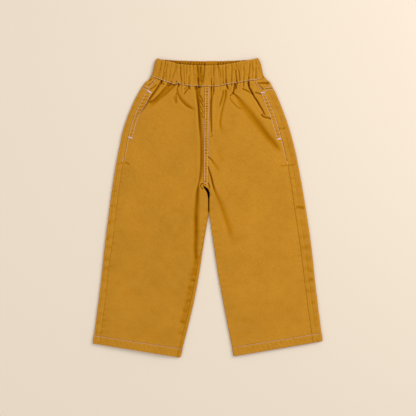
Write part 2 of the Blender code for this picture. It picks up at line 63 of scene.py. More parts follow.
# %% Cloth and heights
SIDES = ("left", "right")
SIGN = {"left": -1, "right": 1}
COLUMN = {"left": 1, "right": 2}  # in a table that has one column for each side
UP, DOWN = (0, 0, 1), (0, 0, -1)
FAR = 99  # mm: too far away to matter
QUARTER_TURN = np.pi / 2

CLOTH = 0.95  # one layer of twill
HEM_CLOTH = 1.7  # turned up and stitched
CASING = 2.0  # waistband: cloth, elastic, cloth
HALF_SEAM = 0.15  # half the gap between two pieces
SIDE_GAP = {"left": 0.05, "right": 0.1}  # half the gap at the side seam; the left one hardly shows
CASING_HEIGHT = 5.6  # how high the ends of the laid waistband stand
WAIST_SIDE = {"left": 243.0, "right": 242.0}  # y of the ends of the waist seam
CROTCH = 41.5  # y
HEM_SIDE = {"left": -250.0, "right": -245.5}  # y of the hems' outer corners
HEM_INNER = {"left": -276.0, "right": -273.5}  # y of their inner corners
LEG = {side: CROTCH - (HEM_SIDE[side] + HEM_INNER[side]) / 2 for side in SIDES}
HEM_HEIGHT = 14.2
SIDE_ROW_END = 84.0  # the stitches along the side seam's edge end about here
print("legs, mm:", LEG)

# %% Edges and seams
OUTER_EDGE = (  # y, left x, right x
    (243, -105.3, 105.2), (237, -109.5, 110), (233, -114.8, 115), (225.5, -120.5, 119),
    (218, -125.1, 123.2), (203.5, -133.1, 130.1), (188.5, -140.1, 136.3), (170, -147.8, 143.3),
    (144, -156.4, 152), (107, -164.4, 161.8), (70, -171.4, 169.4), (40.5, -176, 174.7),
    (-18.5, -184, 184.4), (-63, -189.7, 190.9), (-152, -199.5, 200.7), (-250, -212.4, 213),
)
SIDE_STRIP = (  # y, width of the back's strip that shows beside the side seam, left and right
    (243, 7.5, 16), (233, 13, 24), (218, 12.7, 22.4), (203.5, 12.6, 19.7), (170, 11.6, 18.3),
    (137, 12.3, 19.2), (70, 12.6, 19.3), (-18.5, 13.6, 20.8), (-63, 13.8, 20.2), (-107, 11.9, 19.6),
    (-250, 12.8, 17.5),
)
INNER_EDGE = (  # y, left leg's x, right leg's x
    (41.5, -8.8, -7.4), (38, -6.6, -3.4), (32, -2.1, 1.3), (25, 0.9, 2.9), (15, 1.9, 2.7), (-9, 1.9, 2.9),
    (-18.5, 0.6, 4), (-63, -6.9, 10.3), (-122, -15.8, 19.3), (-181.5, -27.3, 30.1), (-276, -50.6, 48.8),
)
MIDDLE_SEAMS = (  # y, centre front x, centre back x
    (243, -5, 0), (165, -6, 0), (96, -7.1, -3), (41.5, -8, -8),
)
INSEAM = (  # y, how far the inseam lies round the inner edge, left and right, positive on top
    (41.5, 2.2, 2.2), (0, 2.2, 0.8), (-60, 2.4, -0.8), (-118, 7, -1), (-276, 7.4, -1),
)
LAID = (  # y, thickness at the edges, how much higher the front stands in the middle
    (243, 4.9, 1.3), (222, 4.3, 2.2), (180, 4, 2.7), (120, 3.9, 2.3), (41.5, 3.9, 1.9), (-60, 3.9, 1.5),
    (-200, 3.9, 1.1), (-236, 4.1, 1), (-276, 4.4, 0.9),
)
ROW_MIDDLES = (  # share of the rise, where its row meets the middle: front y, back y
    (0, 224.3, 233), (0.104, 206, 195), (0.26, 180, 174), (0.5, 140, 138), (1, 41.5, 41.5),
)

# %% The waistband's edges
WAIST_SEAM = (  # x, y: it dips to the middle, with a small peak where a tuck was caught
    (-105.3, 243), (-97, 240.6), (-87, 237.2), (-77.6, 233.2), (-66, 229.6), (-60.4, 228.3), (-54.2, 230.6),
    (-48.6, 227.2), (-30.4, 225.4), (-9.7, 224.3), (11.2, 224.3), (37.6, 228.3), (56.5, 231.2), (75.4, 235),
    (90.4, 236.6), (105.2, 242),
)
FRONT_TOP = (  # x, y: the front's top edge dips too
    (-95, 275.6), (-73.4, 271.9), (-51.2, 266.5), (-14.2, 263.9), (19.1, 264.4), (41.3, 267.2),
    (59.8, 270.9), (94, 276.3),
)
WAISTBAND_EDGE = (  # y, left x, right x
    (243, -105, 105), (248, -102.8, 102.6), (262.5, -99.4, 99.3), (270, -97.5, 97.2), (276, -94.2, 93.6),
)
BACK_TOP_DIP = 4.5  # the back's top edge is this much lower in the middle
BACK_SEAM_MIDDLE = 233.0  # y of the waist seam at centre back
HALF_WAIST = 105


# %% [markdown]
# ## Curves, soft steps and uneven cloth
#
# A few small helpers do most of the work. `smooth` reads a table. `ease` is a soft step from 0 to 1,
# and `bump` a soft ridge. `uneven` is a field of gentle hills: random heights on a coarse grid, joined
# smoothly. Real cloth is never quite flat, and a fixed seed makes it come out the same each time.

# %% Read a table
def smooth(table, column, at):
    """The value of a table's column at a height or place."""
    rows = sorted(table)
    knots = np.array([row[0] for row in rows], float)
    values = np.array([row[column] for row in rows], float)
    step = np.diff(knots)
    slope = np.diff(values) / step
    bend = np.zeros_like(values)
    bend[0], bend[-1] = slope[0], slope[-1]
    same_way = slope[1:] * slope[:-1] > 0
    total = np.where(same_way, slope[1:] + slope[:-1], 1)
    bend[1:-1] = np.where(same_way, 2 * slope[1:] * slope[:-1] / total, 0)
    at = np.asarray(at, float)
    k = np.clip(np.searchsorted(knots, at) - 1, 0, len(step) - 1)
    t = np.clip((at - knots[k]) / step[k], 0, 1)
    start = values[k] * (1 + 2 * t) * (1 - t) ** 2 + bend[k] * step[k] * t * (1 - t) ** 2
    end = values[k + 1] * t * t * (3 - 2 * t) + bend[k + 1] * step[k] * t * t * (t - 1)
    return start + end


# %% Soft steps and ridges
def ease(t):
    t = np.clip(t, 0, 1)
    return t * t * (3 - 2 * t)


def between(start, end, share):
    """The value that lies a share of the way from start to end."""
    return start + (end - start) * share


def bump(distance, width, power=2):
    """A soft ridge of height 1 where the distance is 0; a lower power makes its top sharper."""
    return np.exp(-(np.abs(distance / width) ** power))


# %% Uneven cloth
def uneven(x, y, size, seed, tall=1.0):
    """Gentle hills about `size` mm wide, and `tall` times as long, between -1 and 1."""
    heights = np.random.RandomState(seed).uniform(-1, 1, (64, 64))
    u = np.asarray(x) / size + 31.7  # an offset, so that the middle is not a corner of the grid
    v = np.asarray(y) / (size * tall) + 17.3
    i, j = np.floor(u).astype(int), np.floor(v).astype(int)
    s, t = ease(u - i), ease(v - j)
    low, high = (between(heights[i % 64, k % 64], heights[(i + 1) % 64, k % 64], s) for k in (j, j + 1))
    return between(low, high, t)


# %% Curves
def curve_through(points, step):
    """A smooth curve through a few points (Catmull-Rom), as a dense line."""
    points = np.array(points, float)
    padded = np.vstack([2 * points[0] - points[1], points, 2 * points[-1] - points[-2]])
    line = []
    for a, b, c, d in zip(padded, padded[1:], padded[2:], padded[3:]):
        count = max(2, int(np.hypot(*(c - b)[:2]) / step))
        for t in np.arange(count) / count:
            line.append(0.5 * (2 * b + (c - a) * t + (2 * a - 5 * b + 4 * c - d) * t**2
                               + (3 * b - a - 3 * c + d) * t**3))
    line.append(points[-1])
    return np.array(line)


def distances_along(line):
    """How far along a line each of its points lies."""
    return np.concatenate([[0], np.cumsum(np.hypot(*np.diff(line[:, :2], axis=0).T))])


# %% [markdown]
# ## The folds of the front
#
# Elastic pulls the waist together, so the cloth below it falls in folds that fan out from the band.
# The largest runs down beside the front seam, where the left half bulges over like a lip. A fold is
# seldom the same on both sides: one is steep and the other a long soft slope.
#
# Each fold is one row: its softness on the left and the right of the picture, its depth, the height
# of the ridge of cloth beside it (negative for a ridge on the right), how much of its start and end
# fades, and a few points of its path. A third number at a point multiplies the fold's breadth there,
# and a fourth one its depth.

# %% Folds of the front
LEG_PUCKERS = (  # the two ends of each pucker beside the left inseam
    ((-19, -121), (-29, -115)), ((-23, -136), (-32, -130)), ((-28, -153), (-39, -144)),
    ((-31, -171), (-44, -175)), ((-37, -192), (-49, -188)), ((-42, -212), (-54, -208)),
    ((-45, -232), (-57, -229)),
)
FOLDS = (  # name, soft left, soft right, depth, ridge, fade in, fade out, points
    ("left pocket crease", 1.7, 2.8, 1.85, -0.4, 0, 0.35, ((-86, 235, 1, 1.1), (-88.5, 230), (-95.8, 218.5),
      (-102.6, 209), (-109, 200), (-115.2, 190), (-122, 181), (-128, 174), (-134.5, 167.5))),
    ("left bartack crease", 1.2, 1.4, 1.1, 0, 0.1, 0.3, ((-94, 228), (-101, 222.5), (-109, 218))),
    ("left pocket crease, second", 1.8, 4.4, 1.4, 0, 0, 0.12, ((-69, 232), (-76, 225), (-84, 216),
      (-92.5, 206.5), (-100, 199.5), (-105.5, 196.6), (-110.5, 196))),
    ("left hip plane", 4.6, 3.2, 0.8, 0, 0, 0.45, ((-65, 227), (-75, 217), (-84.5, 207), (-94, 198),
      (-105, 187.5), (-115, 179))),
    ("left hip plane, edge", 1.5, 2.2, 0.8, 0, 0, 0.5, ((-58.5, 228.5), (-71.5, 216.5), (-80, 208),
      (-89, 200))),
    ("left curved gather", 2, 3.6, 1.2, 0.2, 0, 0.3, ((-54.5, 230, 0.7, 1.2), (-56.5, 219, 0.6),
      (-55.4, 211.5, 0.8), (-51.4, 203.5), (-45, 195.3, 1.2), (-37, 188.2, 1.2), (-29, 183.8),
      (-21.5, 178.5, 0.8))),
    ("left short gather", 1.5, 2, 0.8, 0, 0.1, 0.4, ((-57.8, 214.5), (-58.6, 205), (-57, 192))),
    ("left short gather, second", 1.4, 1.6, 0.6, 0, 0.2, 0.4, ((-62.6, 208), (-60.4, 198), (-56.7, 190.5))),
    ("left slanting gather", 1.5, 1.8, 1.4, 0, 0, 0.5, ((-35.4, 222), (-41, 214.5), (-45.4, 207.5))),
    ("left slanting gather, short", 1.3, 1.6, 0.8, 0, 0, 0.5, ((-38, 225), (-44.5, 217.5))),
    ("left small gather", 1.3, 1.4, 1.3, 0, 0, 0.5, ((-35.2, 225), (-32, 218))),
    ("left gather by the fold", 1.5, 2, 1.1, 0, 0, 0.6, ((-24, 226), (-23, 214))),
    ("long front fold", 2.2, 4.4, 2.9, 0.8, 0, 0.16, ((-20, 227, 1.1, 0.8), (-20.2, 218, 1.2, 0.62),
      (-19.6, 209, 1.1, 0.66), (-18.6, 200, 1, 0.72), (-17.6, 191, 0.8, 0.82), (-16.8, 180, 0.75, 0.88),
      (-15.8, 166, 0.85, 0.92), (-14.8, 152, 0.95, 0.86), (-13.6, 138, 1, 0.66), (-12.4, 126, 1, 0.6),
      (-12, 100, 1, 0.58), (-12.2, 80, 0.95, 0.6), (-13.2, 66, 0.9, 0.52), (-15.2, 53, 0.7, 0.62),
      (-17.8, 42, 0.5, 0.5), (-19.6, 34, 0.4, 0.3))),
    ("long front fold, lower", 4.6, 5.1, 1.75, -0.5, 0.1, 0.3, ((-15.4, 50, 0.3, 0.9),
      (-17.2, 40.6, 0.5, 1.1), (-19, 27, 0.75, 1.1), (-19.9, 11, 0.92, 1.06), (-20.9, -4, 1, 1),
      (-21.3, -19, 1, 0.98), (-21.3, -34, 1, 0.88), (-21.3, -48, 1, 0.84), (-21.8, -63, 0.95, 0.78),
      (-22.2, -78, 0.95, 0.78), (-21.6, -96, 0.95, 0.84), (-24.6, -113, 0.95, 0.8), (-28, -130, 0.9, 0.6))),
    ("long fold, upper lip", 1.2, 1.4, 1.2, 0, 0, 0.3, ((-14.4, 228), (-14.2, 219), (-16, 208))),
    ("long fold, upper wrinkle", 1.3, 1.5, 1.3, 0, 0.15, 0.3, ((-16, 210), (-11.5, 203), (-8.6, 193))),
    ("long fold, middle wrinkle", 1.2, 1.5, 1.2, 0, 0.15, 0.3, ((-15.4, 201), (-11.4, 193.5), (-7.6, 184))),
    ("long fold, lower wrinkle", 1.2, 1.5, 1, 0, 0.15, 0.3, ((-14.4, 189), (-10.6, 182), (-7.4, 173))),
    ("long fold, last wrinkle", 1.2, 1.5, 0.8, 0, 0.15, 0.3, ((-13.4, 178), (-10.2, 171), (-8.4, 163))),
    ("fold by the front seam", 2.4, 1.8, 2, -0.5, 0, 0.16, ((6.8, 226, 0.8, 0.7), (6.9, 214, 0.8, 0.7),
      (7.4, 205, 1, 0.8), (6.6, 199), (6, 181, 1.1), (6.4, 163, 1, 0.86), (7.2, 143, 0.7, 0.6),
      (6.6, 133, 0.5, 0.5))),
    ("fold by the front seam, side", 1.2, 1.3, 1.5, 0, 0, 0.4, ((11.2, 226), (10.8, 214), (9, 204))),
    ("fold by the front seam, hook", 1, 1, 0.6, 0, 0.2, 0.3, ((4.8, 133.5), (7, 132), (9.8, 136.5))),
    ("right short gather", 2.2, 2.6, 1, 0, 0.1, 0.4, ((29.4, 219), (27.4, 206), (23.8, 194), (20.4, 182))),
    ("right curved gather", 2, 2.8, 1.35, 0.2, 0.05, 0.4, ((33.2, 221, 0.8), (33.4, 209, 1, 0.95),
      (30.6, 196, 1, 0.66), (26.8, 181, 1, 0.48), (24.2, 168, 1, 0.42), (23.2, 154, 1.2, 0.5),
      (27, 142.5, 1.6, 0.6), (32, 131, 1.8, 0.6))),
    ("right strap, left side", 1.4, 1.8, 2, 0.3, 0, 0.15, ((50, 229), (48.4, 219), (46.8, 212.2))),
    ("right strap, blob", 1.7, 1.9, 1.9, 0, 0, 0.5, ((52.4, 227), (51.4, 217.5))),
    ("right strap, foot", 1.2, 1.4, 1.3, 0, 0, 0.5, ((47, 212.4), (43.2, 209), (38.6, 205.4))),
    ("right notch", 1.5, 1.7, 1.4, 0, 0, 0.6, ((35.4, 227), (38, 220), (40.6, 216))),
    ("right hip fold", 7.8, 5.6, 1.25, -0.5, 0, 0.16, ((46.6, 212.6, 0.2, 1.3), (51.5, 208.5, 0.28, 1.1),
      (57, 203, 0.5), (62, 196.5, 0.75), (68, 189, 0.9), (76, 180, 1), (85.5, 167.5, 1, 1.05),
      (94.5, 156, 1, 1.02), (103.5, 143.5, 0.95), (112.5, 132, 0.9), (121, 122.5, 0.85), (129, 112.5, 0.75),
      (138, 102, 0.6, 0.8))),
    ("right hip fold, inner", 1.6, 2, 0.6, 0, 0.1, 0.3, ((39.6, 205.2), (44, 197.6), (51, 190.4),
      (57, 184.6), (66, 182))),
    ("right pocket crease", 1.5, 2, 3, 0.3, 0, 0.1, ((74.6, 232, 1, 0.75), (76.2, 224, 1, 0.85),
      (78.6, 219, 1, 0.95), (82.4, 212.5, 0.9, 0.85), (86, 205, 0.8, 0.86), (91.6, 197, 0.9, 0.95),
      (96.6, 188, 0.9, 0.86), (100.6, 181.5, 0.9, 0.8), (104.6, 173.6, 0.8, 0.7), (107.4, 170, 0.7, 0.6))),
    ("right pocket hook", 1.3, 1.9, 1.8, 0, 0.15, 0.12, ((98, 175), (102, 169), (108, 167), (113, 165.8),
      (118.4, 164))),
    ("right hip crease", 1.5, 1.9, 1.6, 0, 0.1, 0, ((63, 220.6), (70, 217.8), (76, 214.6), (82.4, 210.6))),
    ("right bartack crease", 1.3, 1.5, 1.5, 0, 0.15, 0.25, ((86, 214), (93.2, 212), (101, 209.4))),
    ("crotch crease", 1.3, 1.8, 1.7, 0, 0, 0.4, ((0.4, 94.6, 0.8, 1.1), (6.4, 89.6, 1.1, 0.62),
      (13, 80, 2, 0.32), (19, 71, 2.8, 0.22), (25, 61, 3, 0.15))),
    ("crotch crease, faint", 4.6, 4.8, 0.22, 0, 0.3, 0.4, ((15.4, 113), (23, 98), (32, 79))),
    ("right inner fold", 1.3, 1.9, 2.5, 0.3, 0, 0.35, ((0.2, 76, 0.8, 0.6), (3.6, 66, 1, 0.74),
      (7, 54, 1, 0.88), (10, 41, 1.15, 0.74), (13.2, 31.5, 1.7, 0.46), (17.2, 22, 2.5, 0.34),
      (22.7, 10, 3.3, 0.3), (27.5, -3, 3.6, 0.28), (33.5, -20, 3.7, 0.25), (40.5, -42, 3.6, 0.22),
      (49, -80, 3.4, 0.16))),
    ("left leg, inner hollow", 6, 5, 0.5, 0, 0.2, 0.4, ((-22, -100), (-30, -140), (-38, -180), (-47, -222),
      (-52, -250))),
    ("crotch tuck, loop", 0.9, 0.9, 2.2, 0, 0, 0.3, ((-13.2, 39.6), (-12.4, 43.6), (-9.6, 45.2),
      (-6.6, 44.4))),
    ("crotch tuck, left", 1, 1, 1.8, 0, 0, 0.5, ((-11.4, 37.6), (-8.6, 33))),
    ("crotch tuck, right", 1, 1.1, 1.5, 0, 0, 0.4, ((0.4, 46.6), (2.6, 42), (3.4, 34))),
    *[("left leg pucker", 2.8, 3.2, 0.23, 0, 0.1, 0.5, ends) for ends in LEG_PUCKERS],
    ("left leg, by the pocket row", 1.8, 2.4, 0.42, 0, 0.1, 0.5, ((-153, 85.4), (-148, 82), (-142, 79))),
    ("right leg, by the pocket row", 2, 3, 0.34, 0, 0.1, 0.5, ((146.4, 80), (139, 77.6), (131, 80))),
)
print(len(FOLDS), "folds in front; the deepest is", max(FOLDS, key=lambda fold: fold[3])[0])

# %% Folds of the strips, and folds behind
STRIP_FOLDS = (  # the same, across the strips and yoke ends that show beside the side seams
    ("right yoke crease", 2, 1.9, 1.45, 0, 0.05, 0.3, ((90, 230), (97, 230.7), (106, 230.9), (117, 230.3))),
    ("right yoke crease, lower", 1.2, 1.4, 1.2, 0, 0.1, 0.4, ((93, 228), (98, 223.6), (104, 218))),
    ("left yoke crease", 1.2, 1.4, 1.2, 0, 0.1, 0.4, ((-99, 235), (-106, 229.6), (-113, 225))),
    ("left yoke crease, upper", 1.2, 1.4, 0.9, 0, 0.1, 0.4, ((-103, 239), (-109, 234.6))),
    ("right strip crease 1", 1.8, 2.6, 0.32, 0, 0.1, 0.5, ((148, 79.6), (155, 79.4), (162, 81), (166, 80))),
    ("right strip crease 2", 1.8, 1.9, 0.5, 0, 0.1, 0.2, ((163, 2), (172, 1.2), (181, -1))),
    ("right strip crease 3", 1.8, 2.2, 0.35, 0, 0.1, 0.3, ((128, 148), (136, 146), (146, 148))),
    ("left strip crease 1", 1.5, 1.7, 0.2, 0, 0.1, 0.3, ((-158, 84), (-163, 82), (-169, 80))),
    ("left strip crease 2", 1.5, 1.7, 0.4, 0, 0.1, 0.3, ((-168, 33), (-173, 31), (-178, 31))),
    ("left strip crease 3", 1.5, 1.7, 0.45, 0, 0.1, 0.3, ((-176, 5), (-181, 4), (-186, 5))),
    ("left strip crease 4", 1.8, 1.9, 0.45, 0, 0.1, 0.3, ((-180, -26), (-186, -28), (-192, -27))),
    ("left strip crease 5", 1.8, 1.9, 0.45, 0, 0.1, 0.3, ((-184, -56), (-189, -58), (-194, -57))),
)
BACK_FOLDS = (  # on the underside, where the back lies on the table
    ("seat fold, left", 3, 3.6, 1.2, 0, 0, 0.4, ((-30, 228), (-34, 190), (-30, 150), (-22, 118))),
    ("seat fold, right", 3.4, 2.8, 1.3, 0, 0, 0.4, ((42, 228), (40, 196), (33, 160), (24, 126))),
    ("seat fold, outer left", 2.6, 3.2, 1, 0, 0, 0.5, ((-74, 230), (-86, 200), (-104, 172))),
    ("seat fold, outer right", 3, 2.8, 1, 0, 0, 0.5, ((80, 230), (93, 196), (112, 160))),
    ("seat to left leg", 2.6, 4, 1.1, 0, 0.1, 0.5, ((-12, 62), (-24, 20), (-34, -30), (-40, -80))),
    ("seat to right leg", 4, 2.6, 1.1, 0, 0.1, 0.5, ((-4, 62), (14, 22), (30, -26), (44, -84))),
    ("left knee hollow", 4, 4, 0.7, 0, 0.3, 0.4, ((-150, -30), (-120, -44), (-84, -48))),
    ("right knee hollow", 4, 4, 0.7, 0, 0.3, 0.4, ((150, -14), (122, -34), (86, -40))),
)
print(len(STRIP_FOLDS), "folds on the strips and", len(BACK_FOLDS), "behind")


# %% The nearest point of a fold's path
def nearest_on(line, x, y):
    """(distance, whether it lies left if the path runs down, how far along, breadth, strength)."""
    gone = distances_along(line)
    nearest = (np.inf, False, 0.0, 1.0, 1.0)
    for k, run in enumerate(np.diff(line, axis=0)):
        dx, dy = x - line[k, 0], y - line[k, 1]
        length = gone[k + 1] - gone[k]
        t = np.clip((dx * run[0] + dy * run[1]) / length**2, 0, 1)
        distance = np.hypot(dx - t * run[0], dy - t * run[1])
        here = (distance, run[0] * dy < run[1] * dx, gone[k] + t * length,
                line[k, 2] + t * run[2], line[k, 3] + t * run[3])
        closer = distance < nearest[0]
        nearest = [np.where(closer, new, old) for new, old in zip(here, nearest)]
    return nearest


# %% How deep the folds are at a place
REACH = 3.6  # a fold has died out this many widths away
RIDGE_PLACE, RIDGE_WIDTH = 2.1, 1.9  # in widths of the fold
SHAPE, SHADE = 1.7, 2.8  # powers: the dark is flatter at the bottom than the fold is
WAVER, WAVER_LENGTH = 0.12, 17  # no fold has the same depth all along
# Painted shade at the bottom of a fold, per mm of its depth:
DARK_PER_DEPTH = 0.21
DEEPEST = 0.86  # no fold is darker than this; only cloth that no light reaches is


def fold_field(folds, x, y):
    """(how far the folds lower the cloth, how much shade is painted at the bottom of a fold) at each point.
    """
    sunk, dark = np.zeros(x.shape), np.zeros(x.shape)
    for number, (_, left, right, depth, ridge, fade_in, fade_out, points) in enumerate(folds):
        line = curve_through([(*point, 1, 1)[:4] for point in points], 3)
        reach = REACH * max(left, right) * line[:, 2].max()
        low, high = line.min(0) - reach, line.max(0) + reach
        near = (x > low[0]) & (x < high[0]) & (y > low[1]) & (y < high[1])
        if not near.any():
            continue
        away, is_left, gone, breadth, strength = nearest_on(line, x[near], y[near])
        if line[-1, 1] > line[0, 1]:
            is_left = ~is_left
        width = np.where(is_left, left, right) * breadth
        place = gone / distances_along(line)[-1]
        fading = ease(place / fade_in) if fade_in else 1.0
        fading = fading * strength * ease((1.02 - place) / max(fade_out, 0.02))
        deep = depth * fading * (1 + WAVER * np.sin(gone / WAVER_LENGTH + 2.1 * number))
        offset = away + np.where(is_left == (ridge > 0), -RIDGE_PLACE, RIDGE_PLACE) * width
        sunk[near] += deep * bump(away, width, SHAPE)
        sunk[near] -= abs(ridge) * fading * bump(offset, RIDGE_WIDTH * width)
        # painted shade at the bottom of the fold
        dark[near] += DARK_PER_DEPTH * deep * bump(away, width, SHADE)
    return sunk, DEEPEST * np.tanh(dark / DEEPEST)


# %% [markdown]
# ## Tucks and creases at the waistband
#
# Where the casing was sewn to the panels, the extra cloth was caught in small tucks right at the
# seam. They are short and deep, with painted shade in them, and no two lie the same way. The casing
# itself is creased by its elastic: some creases start at the top edge, some at the seam, and a few
# meet in a Y.

# %% Tucks at the seam
SEAM_TUCKS = (  # softness, depth, points: across the seam, so both the band and the panels have them
    (1.2, 1.9, ((-85.2, 236), (-85.6, 231.6), (-87.2, 227.5))), (1.1, 1.1, ((-84, 231), (-80, 227.6))),
    (1.1, 1.1, ((-73.4, 232.4), (-75.6, 225))), (1.2, 2.5, ((-67.8, 235), (-67.8, 229.6))),
    (1, 1.4, ((-67, 228.4), (-73, 225.8))), (1, 1.4, ((-65.4, 227.8), (-59.4, 225.8))),
    (1.2, 2.3, ((-57, 235.4), (-59.4, 227.6))), (1.2, 2, ((-52.8, 231.4), (-54, 223.6))),
    (1.1, 1.7, ((-51.6, 230), (-47.2, 228.2))), (1.1, 1.5, ((-44, 233.4), (-41.8, 226.4))),
    (1.1, 1.1, ((-35.2, 231), (-35.2, 222.8))), (1.3, 1.3, ((-22.6, 228), (-20.4, 218))),
    (1.6, 2.7, ((-17.4, 243), (-17, 229.6), (-15.4, 220))), (1.2, 1.4, ((-11.6, 230), (-12.4, 221.6))),
    (1, 0.8, ((7, 237), (7, 214))), (1.1, 1.1, ((11, 231), (11, 213))),
    (1.1, 1.3, ((28.8, 234), (29.8, 226.2))), (1.3, 1.5, ((33.6, 239), (34.4, 228), (37.4, 218.6))),
    (1.1, 1, ((43.6, 231), (44.8, 224.6))), (1.2, 0.9, ((49.4, 233), (51, 227))),
    (1.2, 1.8, ((53.4, 238), (54.8, 228))), (1.2, 1.1, ((66, 235), (66.4, 222.6))),
    (1.3, 1.25, ((76.4, 243), (76.2, 232), (77.4, 224))), (1.2, 1.2, ((88.7, 245), (88.7, 237.4))),
)
print(len(SEAM_TUCKS), "tucks at the seam")

# %% Creases on the casing
BAND_CREASES = (  # softness, depth, points: on the casing alone
    (1.4, 0.9, ((-85, 270), (-87, 261), (-88.9, 251))),
    (1.3, 0.8, ((-90.6, 253), (-92.6, 244), (-95, 238.5))),
    (1.3, 1.2, ((-78.4, 272), (-78.4, 264.5), (-80.4, 256))),
    (1.4, 1.8, ((-79, 251.5), (-81.2, 244), (-84.4, 237))),
    (1.3, 0.9, ((-74, 268.5), (-74.6, 261), (-77, 253.5), (-79, 248))),
    (1.1, 0.6, ((-69.4, 268), (-70.6, 260))), (1.2, 1.2, ((-58.8, 268), (-58, 259))),
    (1.3, 1, ((-54.6, 264), (-59.4, 254.3), (-62.6, 246), (-66, 237))),
    (1.2, 0.5, ((-67.8, 251), (-68.7, 240))), (1.2, 0.5, ((-72, 251.5), (-69, 238.6))),
    (1.4, 1.5, ((-51.4, 263), (-50.2, 255), (-50.4, 247), (-48.8, 238.6), (-48.4, 230.5))),
    (1.2, 1.1, ((-48.8, 263.6), (-46.2, 260.5), (-44, 251.5), (-43.4, 242), (-44, 235), (-42.8, 229))),
    (1.1, 0.8, ((-43.6, 265), (-46, 260))), (1.3, 1.1, ((-37.4, 264), (-38.2, 257), (-39.4, 248))),
    (1.2, 1.2, ((-35.4, 246), (-35.1, 237), (-34.5, 229))), (1.2, 0.5, ((-32.7, 263), (-31.7, 242))),
    (1.1, 0.9, ((-26.6, 263), (-24.8, 253))), (1.6, 0.7, ((-23.6, 249), (-23, 227.5))),
    (1.6, 2.9, ((-19.4, 264.6), (-18.2, 255.2), (-16.8, 247.6), (-17.4, 240))),
    (1.3, 2, ((-13, 263), (-13.6, 249))), (3.2, 1.5, ((-12.4, 262), (-12.6, 246), (-13, 229))),
    (7, 1.5, ((-18, 264), (-16.4, 246), (-15, 229))), (1.3, 1.9, ((-10.6, 247), (-11.6, 229))),
    (1.4, 2.1, ((-5.8, 266), (-6.2, 255), (-7.4, 244), (-9.2, 235), (-10.6, 226))),
    (1.3, 1.6, ((6.4, 242), (7.1, 226))), (1.8, 1.1, ((11.2, 264), (11, 255), (10.6, 242))),
    (1.2, 0.8, ((14.4, 264), (13.6, 253))), (1.2, 1.3, ((11.2, 235), (11.2, 225))),
    (1.3, 1.7, ((18, 264.6), (21, 257), (23.4, 248.8), (24, 239))),
    (1.2, 0.9, ((25.4, 263), (27.1, 253.4), (28.2, 242.3), (29, 229.4))),
    (1.3, 1.4, ((33.9, 266), (33.6, 251.5), (33.6, 238.6), (34.9, 228))),
    (1.1, 0.6, ((38.4, 269), (38.4, 255))),
    (1.3, 1.6, ((43, 267), (45.6, 259), (44.9, 249.7), (43.6, 236.7), (43.2, 230))),
    (1, 0.8, ((47.4, 268.4), (49.7, 257))), (1, 0.7, ((46.2, 253.8), (50.4, 260.2))),
    (1, 0.7, ((46.6, 259.4), (51.8, 253.8))),
    (1.3, 1.6, ((52.6, 268), (54.9, 259), (57.8, 251.5), (58.9, 242.3), (59.5, 231.6))),
    (1.3, 2.8, ((51.9, 257), (51.2, 248), (52.8, 240.4), (54.1, 230))),
    (1.1, 0.8, ((49.7, 243), (49.9, 230))), (1.1, 0.6, ((59.8, 268.4), (61.8, 252))),
    (1.3, 1.3, ((64.4, 263.6), (67.2, 255.2), (68, 247.8), (66.5, 236.7), (66.1, 232))),
    (1.2, 0.5, ((72, 270.4), (72.9, 252))), (1.2, 0.8, ((73.8, 251), (74.6, 237))),
    (1.4, 1.4, ((78, 269), (77.4, 253.4), (76.4, 244.1), (75.8, 235))),
    (1.2, 1.2, ((80, 270), (82.6, 259.8), (85.2, 251.6))),
    (1.3, 1.5, ((89, 262), (88.7, 248), (88.7, 238))), (1.4, 0.6, ((89.4, 272), (92.2, 262.6), (97, 252))),
    (1.4, 0.5, ((-96, 270), (-97.4, 258), (-97, 247))), (1.4, 0.5, ((-99, 262), (-101, 250))),
)
print(len(BAND_CREASES), "creases on the casing")


# %% Short creases as folds
def short_folds(creases):
    """Short creases as rows of a fold table, with soft ends."""
    return [("painted_shade", 0.85 * soft, 1.15 * soft, depth, 0, 0.15, 0.2, points)
            for soft, depth, points in creases]


SEAM_TUCK_FOLDS, BAND_FOLDS = short_folds(SEAM_TUCKS), short_folds(BAND_CREASES)


# %% [markdown]
# ## Gathers
#
# The elastic in the waistband gathers the casing into narrow ridges with sharp valleys between. No
# two are alike: some are deep only at the top, some only at the seam. One row of the table is one
# valley. Below the seam each runs on for a few millimetres into the panels.

# %% Gathers of the waistband
GATHERS = (  # x at the top, x at the seam, depth at the top, depth at the seam
    (-84.4, -90.9, 0.8, 1.1), (-78, -83.5, 1, 1.7), (-74.3, -78.4, 0.5, 0.7), (-66, -72.4, 0.5, 1.1),
    (-58.6, -66.8, 1, 0.8), (-50.6, -48.8, 1.8, 1.5), (-44, -43, 0.6, 0.6), (-39.3, -38.6, 1.3, 0.4),
    (-33.4, -34.3, 0.4, 1.2), (-26.6, -27, 0.9, 0.5), (-19.4, -17.8, 1.9, 2.2), (-13.6, -12.6, 1, 1.1),
    (-6, -8.6, 1.6, 0.9), (6, 6.8, 0.6, 1.7), (11, 11, 1.4, 0.6), (18.6, 23.4, 1.6, 0.9),
    (28.2, 28.4, 1, 0.7), (33, 33.4, 0.9, 1.7), (44, 43.4, 1.5, 1.1), (51.9, 53.6, 1.6, 1.6),
    (56.5, 59.2, 0.8, 1.1), (67.6, 66, 1.1, 1.1), (78.2, 74.8, 1.2, 1.8), (82.4, 82.6, 1.1, 0.5),
    (88.6, 91, 0.8, 0.9),
)
GATHER_REACH = 10  # this far below the seam, about a third of a gather is left
print(len(GATHERS), "gathers across the front")


# %% Gathers that run on below the seam
def gather_field(x, below):
    """How far the gathers lower the cloth at a distance below the waist seam."""
    fading = np.exp(-np.maximum(below, 0) / GATHER_REACH)
    waves = sum(deep * (bump(x - place, 1.8) - bump(x - place - 3.6, 2.2)) for _, place, _, deep in GATHERS)
    return 0.35 * fading * waves


# %% [markdown]
# ## The height of the front
#
# The front stands on the back, so it is highest in the middle and comes down to the rolled edges.
# Folds and gathers are cut out of that gentle hill. They fade where the cloth rolls round an edge,
# and the front never sinks into the layer below.

